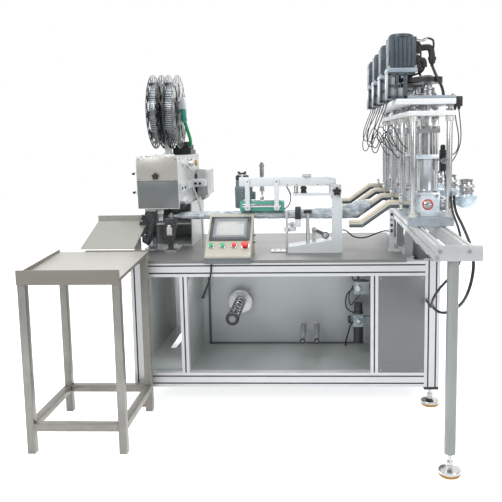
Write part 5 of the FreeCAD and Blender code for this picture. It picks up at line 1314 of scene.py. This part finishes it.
dress(joined("console_sockets", sockets), "machined_steel", "machine")
print("console done")

# %% [markdown]
# The sealer's white stand carries a lifting arm. Two hangers hold a green heated head under it, with a
# steel bar in front and a grey hot-air blower behind. A spring and a damper stand between the two arms.

# %% Sealer
seal_x = 705
blower_y = 380
hanger_x = (623, 788)
arm_pieces = [block("arm_beam", (577, 221.5, 1203.5), (1086, 250.5, 1254.5), 2.5)]
arm_pieces += [block("hanger", (x - 13, 213, 1068), (x + 13, 222, 1246), 2) for x in hanger_x]
arm_pieces += [rod("hanger_foot", (x, 208, 1084), (x, 222, 1084), 17, 1.5, 32) for x in hanger_x]
dress(joined("arm_beam", arm_pieces), "white_paint", "sealer_arm")
arm_steel = [
    screws("arm_screw", [(x, 213, 1232) for x in hanger_x], forward_way, 5, 4),
    screws("arm_screw", [(x, 208, 1084) for x in hanger_x], forward_way, 6, 3),
    screws("arm_screw", [(x, 221.5, 1212) for x in (850, 900, 1020, 1070)], forward_way, 4, 3),
    turned("cylinder", (seal_x, 242, 1174), upward,
           [(0, 5.2), (0, 14), (12, 14), (14, 12.6), (138, 12.6), (140, 15), (154, 15), (156, 10), (164, 10),
            (166, 6), (166, 0)], 28),
    *[turned("cylinder_port", (seal_x, y, z), forward_way, [(0, 0), (0, 6), (10, 6), (10, 0)], 12)
      for y, z in ((227, 1318), (228, 1182))],
]
dress(joined("arm_steel", arm_steel), "polished_steel", "sealer_arm")
arm_knob = turned("arm_knob", (958, 236, 1254), upward,
                  [(0, 0), (0, 24), (3, 27), (7, 27), (9, 24), (16, 24), (18, 20), (18, 0)], 36)
dress(arm_knob, "light_grey_paint", "sealer_arm")
wing_knob = [rod("wing_stem", (593, 236, 1254), (593, 236, 1270), 6, 0.6, 16),
             block("wing_bar", (573, 231, 1268), (613, 241, 1282), 4),
             *[rod("wing_lobe", (x, 236, 1276), (x, 236, 1288), 7, 2, 16) for x in (575, 611)]]
dress(joined("wing_knob", wing_knob), "black_plastic", "sealer_arm")
head_green = [
    block("head_block", (578, 230.5, 1061), (828, 324, 1118), 3),
    block("head_heel", (578, 324, 1066), (640, 352, 1112), 3),
]
dress(joined("head_block", head_green), "teal_paint", "seal_head", nodes=["seal_head"])
head_steel = [
    block("seal_bar", (592, 222.6, 1085), (812, 230.5, 1103), 1.6),
    block("top_bar", (600, 236, 1118), (812, 250, 1127), 1.5),
    screws("bar_screw", [(x, 222.6, 1094) for x in (655, 700, 745)], forward_way, 4, 2),
    turned("clevis_pin", (seal_x, 226, 1132), (0, 1, 0), [(0, 0), (0, 7), (3, 9), (26, 9), (30, 7), (30, 0)],
           20),
    block("clevis", (693, 232, 1118), (717, 252, 1146), 3),
    rod("head_rod", (seal_x, 242, 1140), (seal_x, 242, 1186), 5, 0.4, 20),
]
dress(joined("head_steel_bars", head_steel), "polished_steel", "seal_head")
blower_outline = [(0, 0), (0, 50), (6, 53)]
for step in range(7):
    blower_outline += [(10 + step * 15, 53), (12 + step * 15, 50), (20 + step * 15, 50), (22 + step * 15, 53)]
blower_outline += [(124, 53), (128, 47), (160, 47), (166, 42), (166, 0)]
blower = [turned("blower", (586, blower_y, 1066), upward, blower_outline, 40),
          block("blower_box", (560, 396, 1090), (652, 428, 1160), 6)]
for index in range(9):
    turn = math.radians(200 + index * 17.5)
    x, y = 586 + 51 * math.cos(turn), blower_y + 51 * math.sin(turn)
    blower.append(rod("blower_rib", (x, y, 1078), (x, y, 1180), 3, 0.8, 10))
dress(joined("blower", blower), "blower_grey", "seal_head")
blower_cap = turned("blower_cap", (578, blower_y, 1232), upward,
                    [(0, 0), (0, 38), (4, 40), (24, 38), (30, 28), (30, 0)], 36)
dress(blower_cap, "black_plastic", "seal_head")
heater_lead = lead("heater_lead", [(826, 250, 1070), (842, 248, 1076), (862, 250, 1104), (868, 254, 1136),
                                   (862, 256, 1166), (846, 256, 1192), (838, 255, 1216)], 3.5)
dress(heater_lead, "cable_black", "seal_head")
stand_steel = [
    coil("spring", (898, 235), 12, 1166, 1202, 7, 2.2),
    turned("spring_seat", (898, 235, 1164), upward, [(0, 10), (0, 17), (3, 17), (3, 10)], 28),
    turned("guide_rod", (962, 238, 823), upward,
           [(0, 10), (0, 19), (5, 19), (6, 10.6), (227, 10.6), (227, 10)], 28),
    turned("post_cap", (1003, 300, 950), forward_way, [(0, 0), (0, 9), (44, 9), (46, 7), (46, 0)], 24),
    screws("column_screw", [(1104, 213, z) for z in (872, 905, 940, 975, 1010, 1045, 1080)], forward_way, 3,
           2),
    screws("bracket_screw", [(x, 209, z) for x in (1100, 1142) for z in (1142, 1204)], forward_way, 4.5, 3),
    screws("foot_screw", [(x, 260, 830) for x in (772, 806)], upward, 6, 5),
    screws("stand_screw", [(1072, 232, 896)], upward, 5, 4),
]
dress(joined("stand_steel", stand_steel), "polished_steel", "machine")
damper = [turned("damper", (940, 235, 1164), upward,
                 [(0, 13), (0, 18), (6, 18), (8, 15), (22, 15), (24, 20), (30, 20), (32, 14), (39, 14),
                  (39, 13)], 32),
          turned("rod_knob", (962, 238, 1048), upward,
                 [(0, 11), (0, 22), (4, 24), (14, 24), (18, 20), (18, 0)], 32)]
ring_band = turned("ring_band", (888, 290, 1036), right_way,
                   [(0, 37), (0, 43), (3, 45.5), (33, 45.5), (36, 43), (36, 37)], 56)
dress(joined("stand_black", [*damper, ring_band]), "black_plastic", "machine")
clamp_parts = [block("film_clamp", (846, 222, 948), (896, 252, 966), 3),
               block("film_clamp", (862, 224, 966), (884, 250, 1000), 3),
               block("stand_foot", (748, 229, 823), (838, 311, 831), 2),
               block("stand_plate", (835.5, 229.5, 823), (848.5, 254.5, 1063), 1.5)]
dress(joined("film_clamp", clamp_parts), "light_grey_paint", "machine")
slots = [block("bracket_slot", (1430, 234.6, z), (1443, 236.4, z + height), 3)
         for z, height in ((1002, 42), (968, 14))]
slots.append(block("bracket_slot", (1427, 204.6, 938), (1440, 206.4, 957), 3))
dress(joined("bracket_slots", slots), "black_plastic", "machine")
clamp_knobs = [turned("clamp_knob", (x, 222, z), forward_way,
                      [(0, 0), (0, radius), (height, radius), (height + 2, radius - 3), (height + 2, 0)], 6)
               for x, z, radius, height in ((872, 984, 9, 8), (856, 957, 8, 6))]
dress(joined("clamp_knobs", clamp_knobs), "machined_steel", "machine")
tip_x = 996 + 73 * math.cos(math.radians(25))
tip_z = 950 - 73 * math.sin(math.radians(25))
roller_face = turned("roller_face", (tip_x, 260, tip_z), forward_way,
                     [(0.6, 16), (0.6, 19.3), (2, 20), (20, 20), (21.4, 19.3), (21.4, 16)], 40)
dress(roller_face, "white_paint", "dancer_roller")
roller_rim = turned("roller_rim", (tip_x, 260, tip_z), forward_way,
                    [(21.4, 13), (21.4, 20.6), (22.6, 20.6), (22.6, 13)], 40)
dress(roller_rim, "dark_steel", "dancer_roller")
dancer_bolt = [turned("dancer_bolt", place, forward_way,
                      [(0, 0), (0, radius), (height, radius), (height + 2, inner), (height + 2, 0)], 24)
               for place, radius, inner, height in (((996, 260, 950), 12, 8, 4),
                                                    ((tip_x, 233.6, tip_z), 9, 6, 3))]
dress(joined("dancer_bolts", dancer_bolt), "machined_steel", "dancer_arm")
print("sealer done")

# %% [markdown]
# The film is a thin tube with many small folds. It is open where it goes over the second nozzle, lies soft
# along the line, and is gathered to a point under the clipper.

# %% Film
film_stations = [(178, 5, 5, 1031), (200, 12, 9, 1032), (240, 24, 17, 1034), (300, 32, 22, 1035),
                 (480, 33, 23, 1036), (700, 33, 23, 1036), (880, 33, 25, 1036), (940, 33, 27, 1038),
                 (1060, 33, 30, 1040), (1160, 36, 34, 1044), (1215, 42, 42, 1052), (1262, 44, 45, 1068),
                 (1316, 38, 27, 1092)]
film_start = film_stations[0][0]
film_end = film_stations[-1][0]
film_y = 290
gather_length = 122
loose_length = 90
film_rows = 150
film_sides = 56
places = []
for row in range(film_rows + 1):
    x = film_start + (film_end - film_start) * row / film_rows
    for before, after in zip(film_stations, film_stations[1:]):
        if before[0] <= x <= after[0]:
            t = (x - before[0]) / (after[0] - before[0])
            t = t * t * (3 - 2 * t)
            half_y, half_z, z = (before[i] + (after[i] - before[i]) * t for i in (1, 2, 3))
            break
    loose = min(1.0, (x - film_start) / loose_length)
    for side in range(film_sides):
        turn = 2 * math.pi * side / film_sides
        fold = (math.sin(turn * 5 + x * 0.031) * 0.035 + math.sin(turn * 9 - x * 0.052 + 1.3) * 0.03
                + math.sin(turn * 2 + x * 0.11) * 0.02 + math.sin(turn * 17 + math.sin(x * 0.07) * 3) * 0.018)
        if x < film_start + gather_length:
            fold += math.sin(turn * 14) * 0.16 * (1 - (x - film_start) / gather_length)
        size = 1 + fold * loose
        places.append(at(x, film_y + half_y * size * math.cos(turn), z + half_z * size * math.sin(turn)))
faces = []
for row in range(film_rows):
    for side in range(film_sides):
        nxt = (side + 1) % film_sides
        faces.append((row * film_sides + side, row * film_sides + nxt, (row + 1) * film_sides + nxt,
                      (row + 1) * film_sides + side))
film = meshed("film_web", places, faces)
apply_modifier(film, "SOLIDIFY", thickness=0.0003, offset=0)
dress(smooth(film, 60), "clear_film", "machine", nodes=["film_tube"])
knot = turned("film_knot", (film_start + 4, film_y, 1031), left_way,
              [(0, 0), (0, 7), (10, 6), (16, 3), (26, 5), (30, 4), (30, 0)], 14)
dress(knot, "clear_film", "machine")

# %% [markdown]
# Last come the bay with its film shaft and air unit, the rails with their bolts, and the small parts of the
# frame.

# %% Bay and rails
shaft_x = 540
shaft_z = 479
roller_x = (926, 1007)
roller_z = 315
air_x = 1252
air_y = 300
shaft_bar = block("shaft_bar", (534, 98, 505), (546, 446, 510), 1.5)
shaft_bars = ring_of(shaft_bar, "shaft_bars", (shaft_x, 0, shaft_z), (0, 1, 0), 6)
dress(shaft_bars, "bright_steel", "film_spindle")
shaft_bands = [turned("shaft_band", (shaft_x, y, shaft_z), forward_way, [(0, 30), (0, 34), (w, 34), (w, 30)],
                      40) for y, w in ((436, 26), (372, 22), (300, 18), (248, 40), (170, 30))]
dress(joined("shaft_bands", shaft_bands), "dark_steel", "film_spindle")
shaft_core = turned("shaft_core", (shaft_x, 97, shaft_z), forward_way,
                    [(0, 0), (0, 19), (26, 19), (28, 16), (28, 9), (24, 8), (24, 0)], 32)
dress(shaft_core, "base_grey", "film_spindle")
shaft_ring = turned("shaft_ring", (shaft_x, 96, shaft_z), forward_way,
                    [(0, 28), (0, 37), (4, 38), (26, 38), (31, 34), (31, 20), (24, 18), (24, 0)], 40)
dress(shaft_ring, "black_plastic", "film_spindle")
flange_face = turned("flange_face", (shaft_x, 450, shaft_z), forward_way,
                     [(0, 28), (0, 72), (2, 74), (5, 74), (6, 70), (6, 28)], 48)
dress(flange_face, "machined_steel", "film_spindle")
wall_parts = [turned("wall_bearing", (shaft_x, 515, shaft_z), forward_way,
                     [(0, 14), (0, 52), (8, 52), (10, 38), (36, 37), (36, 14)], 40)]
wall_parts.append(screws("bearing_screw", [(shaft_x + dx, 507, shaft_z + dz) for dx in (-30, 30)
                                           for dz in (-30, 30)], forward_way, 5, 4))
for x in roller_x:
    wall_parts.append(turned("roller_seat", (x, 515, roller_z), forward_way,
                             [(0, 6), (0, 20), (6, 20), (8, 14), (8, 6)], 28))
dress(joined("wall_parts", wall_parts), "polished_steel", "machine")
roller_rings = [turned("roller_cap", (x, 192, roller_z), forward_way,
                       [(0, 6), (0, 16), (8, 16), (10, 13), (10, 6)], 28) for x in roller_x]
dress(joined("roller_caps", roller_rings), "black_rubber", "machine")
seams = [block("seam", (337, 506, 196), high, 1) for high in ((351, 514, 776), (1300, 514, 207))]
dress(joined("bay_seams", seams), "seam_dark", "machine")
right_sheet = block("right_sheet", (1341, 1.2, 196), (1589, 2.4, 732), 0.4)
dress(right_sheet, "panel_grey", "machine")
air_blacks = [
    lead("air_loop", [(1232, 286, 600), (1204, 280, 590), (1180, 290, 556), (1176, 300, 500),
                      (1190, 306, 462), (1224, 300, 452)], 4),
    lead("air_loop", [(1226, 300, 640), (1206, 306, 690), (1180, 330, 722), (1168, 380, 742),
                      (1180, 450, 750)], 4),
    lead("air_loop", [(1262, 268, 566), (1240, 250, 548), (1218, 252, 520), (1206, 270, 500),
                      (1196, 300, 520), (1200, 340, 560), (1230, 400, 590)], 3.4),
    turned("air_dial_rim", (1210, air_y, 410), left_way, [(0, 18), (0, 22), (17, 22), (18, 20), (16, 18)],
           32),
    turned("bowl_guard", (air_x, air_y, 256), upward,
           [(0, 0), (0, 12), (8, 18), (16, 27), (116, 28.5), (118, 20)], 32),
    block("valve_lever", (1226, 262, 646), (1296, 276, 656), 2),
    turned("regulator_collar", (air_x, air_y, 446), upward,
           [(0, 23), (0, 27), (18, 27), (20, 24), (28, 24), (28, 23)], 32),
    lead("air_line", [(1226, 300, 400), (1206, 302, 380), (1196, 320, 330), (1190, 380, 280),
                      (1186, 440, 240), (1184, 470, 198)], 5),
    lead("air_line", [(air_x, air_y, 640), (air_x, 302, 680), (1262, 330, 716), (1280, 400, 728),
                      (1300, 470, 732)], 6),
]
dress(joined("air_blacks", air_blacks), "black_plastic", "machine")
air_steel = [screws("air_screw", [(x, 272, z) for x in (1232, 1270) for z in (388, 430)], forward_way, 4, 3),
             turned("air_port", (air_x, 272, 409), forward_way,
                    [(0, 0), (0, 13), (8, 13), (10, 8), (16, 8), (16, 0)], 6),
             turned("valve_hub", (air_x, 274, 603), forward_way,
                    [(0, 0), (0, 18), (6, 18), (8, 10), (14, 10), (14, 0)], 24)]
dress(joined("air_steel", air_steel), "machined_steel", "machine")
dial = turned("air_dial", (1194.6, air_y, 410), left_way, [(0, 0), (0, 18), (0.6, 18), (0.6, 0)], 32)
dress(dial, "white_paint", "machine")
beam_left = machine_width - 169
end_bolts = [(beam_left + 20, -766, 1000), (beam_left + 141, -766, 1000), (beam_left + 8, -766, 972)]
dress(screws("end_bolts", end_bolts, forward_way, 9, 6), "machined_steel", "machine")
end_cover = block("end_cover", (beam_left - 1, -766.5, 957), (beam_left + 199, -752.5, 1023), 2)
dress(end_cover, "end_grey", "machine")
rail_lines = []
for x in (beam_left, beam_left + 121):
    for edge in (5, 26):
        rail_lines.append(block("rail", (x + edge, -750, 1022), (x + edge + 9, 1212, 1023.4), 0.6))
dress(joined("rail_lines", rail_lines), "pale_stainless", "machine")
brackets = []
for y in (105, 480, 855):
    for x, width in ((beam_left - 4, 40), (machine_width - 40, 40)):
        brackets.append(block("post_foot", (x - 6, y - 8, 813),
                              (x + width + (6 if x < 1600 else 0), y + 48, 821), 2))
        brackets.append(screws("post_screw", [(x + 20, y - 4, 829), (x + 20, y - 4, 940)], forward_way, 6, 5))
dress(joined("post_brackets", brackets), "machined_steel", "machine")
base_bolts = [(x, y, carriage_top) for y in (pump_y + pump_spacing * index for index in range(4))
              for x in (1482, 1682)]
dress(screws("base_bolts", base_bolts, upward, 8, 8), "machined_steel", "carriage")
skirt_bolts = [(x, -205, 1062) for x in (1480, 1580, 1681)]
dress(screws("skirt_bolts", skirt_bolts, forward_way, 5, 4), "machined_steel", "carriage")
junction = [block("terminal_box", (1697, -150, 1618), (1738, -80, 1668), 3),
            block("terminal_lid", (1700, -154, 1622), (1735, -148, 1664), 2)]
for x in (1708, 1727):
    junction.append(turned("terminal_gland", (x, -115, 1618), downward,
                           [(0, 0), (0, 8), (9, 8), (10, 5), (16, 5), (16, 0)], 12))
dress(joined("terminal_box", junction), "black_plastic", "carriage")
loops = []
for index in range(7):
    y = pump_y + 20 + 165 * index
    low = 1452 - 30 * (index % 3)
    far = 1322 - 16 * (index % 2)
    loops.append(lead("loop", [(1378, y, 1664), (1370, y + 4, 1624), (1346, y - 4, 1570),
                               (far, y - 8, low + 50), (far + 2, y - 10, low), (far + 28, y - 8, low - 14),
                               (far + 46, y - 4, low + 40), (1392, y, low + 90), (1420, y + 4, low + 40),
                               (1452, y + 4, low - 30), (1480, y + 6, low - 40)], 2.6))
dress(joined("thin_leads", loops), "cable_black", "carriage")
right_leads = [lead("side_lead", [(1708, -115, 1604), (1710, -115, 1560), (1726, -110, 1500),
                                  (1734, -100, 1430), (1722, -96, 1390), (1700, -100, 1376),
                                  (1676, -104, 1370)], 2.6),
               lead("side_lead", [(1727, -115, 1604), (1736, -112, 1540), (1744, -106, 1460),
                                  (1732, -100, 1400), (1700, -104, 1340), (1678, -106, 1322)], 2.6)]
dress(joined("side_leads", right_leads), "cable_black", "carriage")
print("bay and rails done")

# %% [markdown]
# The free cables run through the air between two fittings, along the same points as the solids that stand for
# them. The two thick ones run from the sliding carriage to the frame, each as a tube bent along its points,
# and the script prints its length.

# %% Free cables


def route_line(points, steps=12):
    """Places along the smooth curve that a route's points control, close together."""
    line = [Vector(points[0])]
    last = len(points) - 3
    for index in range(last + 1):
        a, b, c = (Vector(p) for p in points[index:index + 3])
        start = a if index == 0 else (a + b) / 2
        end = c if index == last else (b + c) / 2
        for step in range(1, steps + 1):
            t = step / steps
            line.append(start * (1 - t) ** 2 + b * 2 * t * (1 - t) + end * t * t)
    return line


def line_length(line):
    """The length of a line of places, in metres."""
    return sum((b - a).length for a, b in zip(line, line[1:])) / 1000


column_right = machine_width - 513
sealer_offsets = [(0.4, 234, 951), (15, 234, 950.6), (33, 235, 938), (50, 237, 920), (76, 239, 906),
                  (109, 241, 902), (145, 243, 908), (181, 245, 922), (215, 245, 936), (238, 245, 941.5),
                  (254.6, 245, 942)]
sealer_route = [(column_right + x, y, z) for x, y, z in sealer_offsets]
console_route = [(443, -7.5, 805.9), (443, -8, 780), (440, -10, 752), (434, -6, 726), (424, 20, 704),
                 (408, 70, 672), (388, 130, 634), (366, 200, 594), (346, 272, 560), (328, 340, 532),
                 (319, 398, 514), (318, 445.6, 510)]
beam_right = machine_width - 8
outer_offsets = [(34, -185, 1179.6), (34, -185, 1146), (36, -224, 1102), (37, -282, 1080), (36, -350, 1064),
                 (34, -425, 1042), (31, -500, 1022), (28, -570, 1000), (26, -632, 968), (22, -674, 924),
                 (14, -684, 868), (6, -664, 812), (0, -620, 762), (-6, -558, 718), (-12, -484, 680),
                 (-18, -400, 646), (-24, -310, 614), (-30, -216, 590), (-34, -128, 576), (-34, -52, 570),
                 (-34, -10.4, 570)]
inner_offsets = [(14, -209.6, 1179.6), (14, -209.6, 1146), (17, -244, 1100), (19, -296, 1072),
                 (20, -356, 1046), (18, -420, 1012), (14, -470, 968), (4, -504, 920), (-20, -528, 876),
                 (-54, -540, 838), (-88, -532, 798), (-108, -500, 754), (-112, -448, 712), (-104, -384, 676),
                 (-92, -310, 646), (-80, -230, 622), (-70, -146, 606), (-64, -66, 600), (-64, -10.4, 600)]
outer_route = [(beam_right + x, y, z) for x, y, z in outer_offsets]
inner_route = [(beam_right + x, y, z) for x, y, z in inner_offsets]
for name, route, radius in (("sealer_cable", sealer_route, 4.0), ("console_cable", console_route, 4.5)):
    piece = dress(cable_curve(name + "_lead", route, radius), "cable_black", "machine",
                  [name])
for name, route, radius in (("pump_cable", outer_route, 7.0), ("beam_cable", inner_route, 6.0)):
    piece = lead(name + "_lead", route, radius)
    piece.data.materials.append(looks["cable_black"])
    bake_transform(piece)
    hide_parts(name)
    line = route_line(route)
    print(name, round(line_length(line), 3), "m")
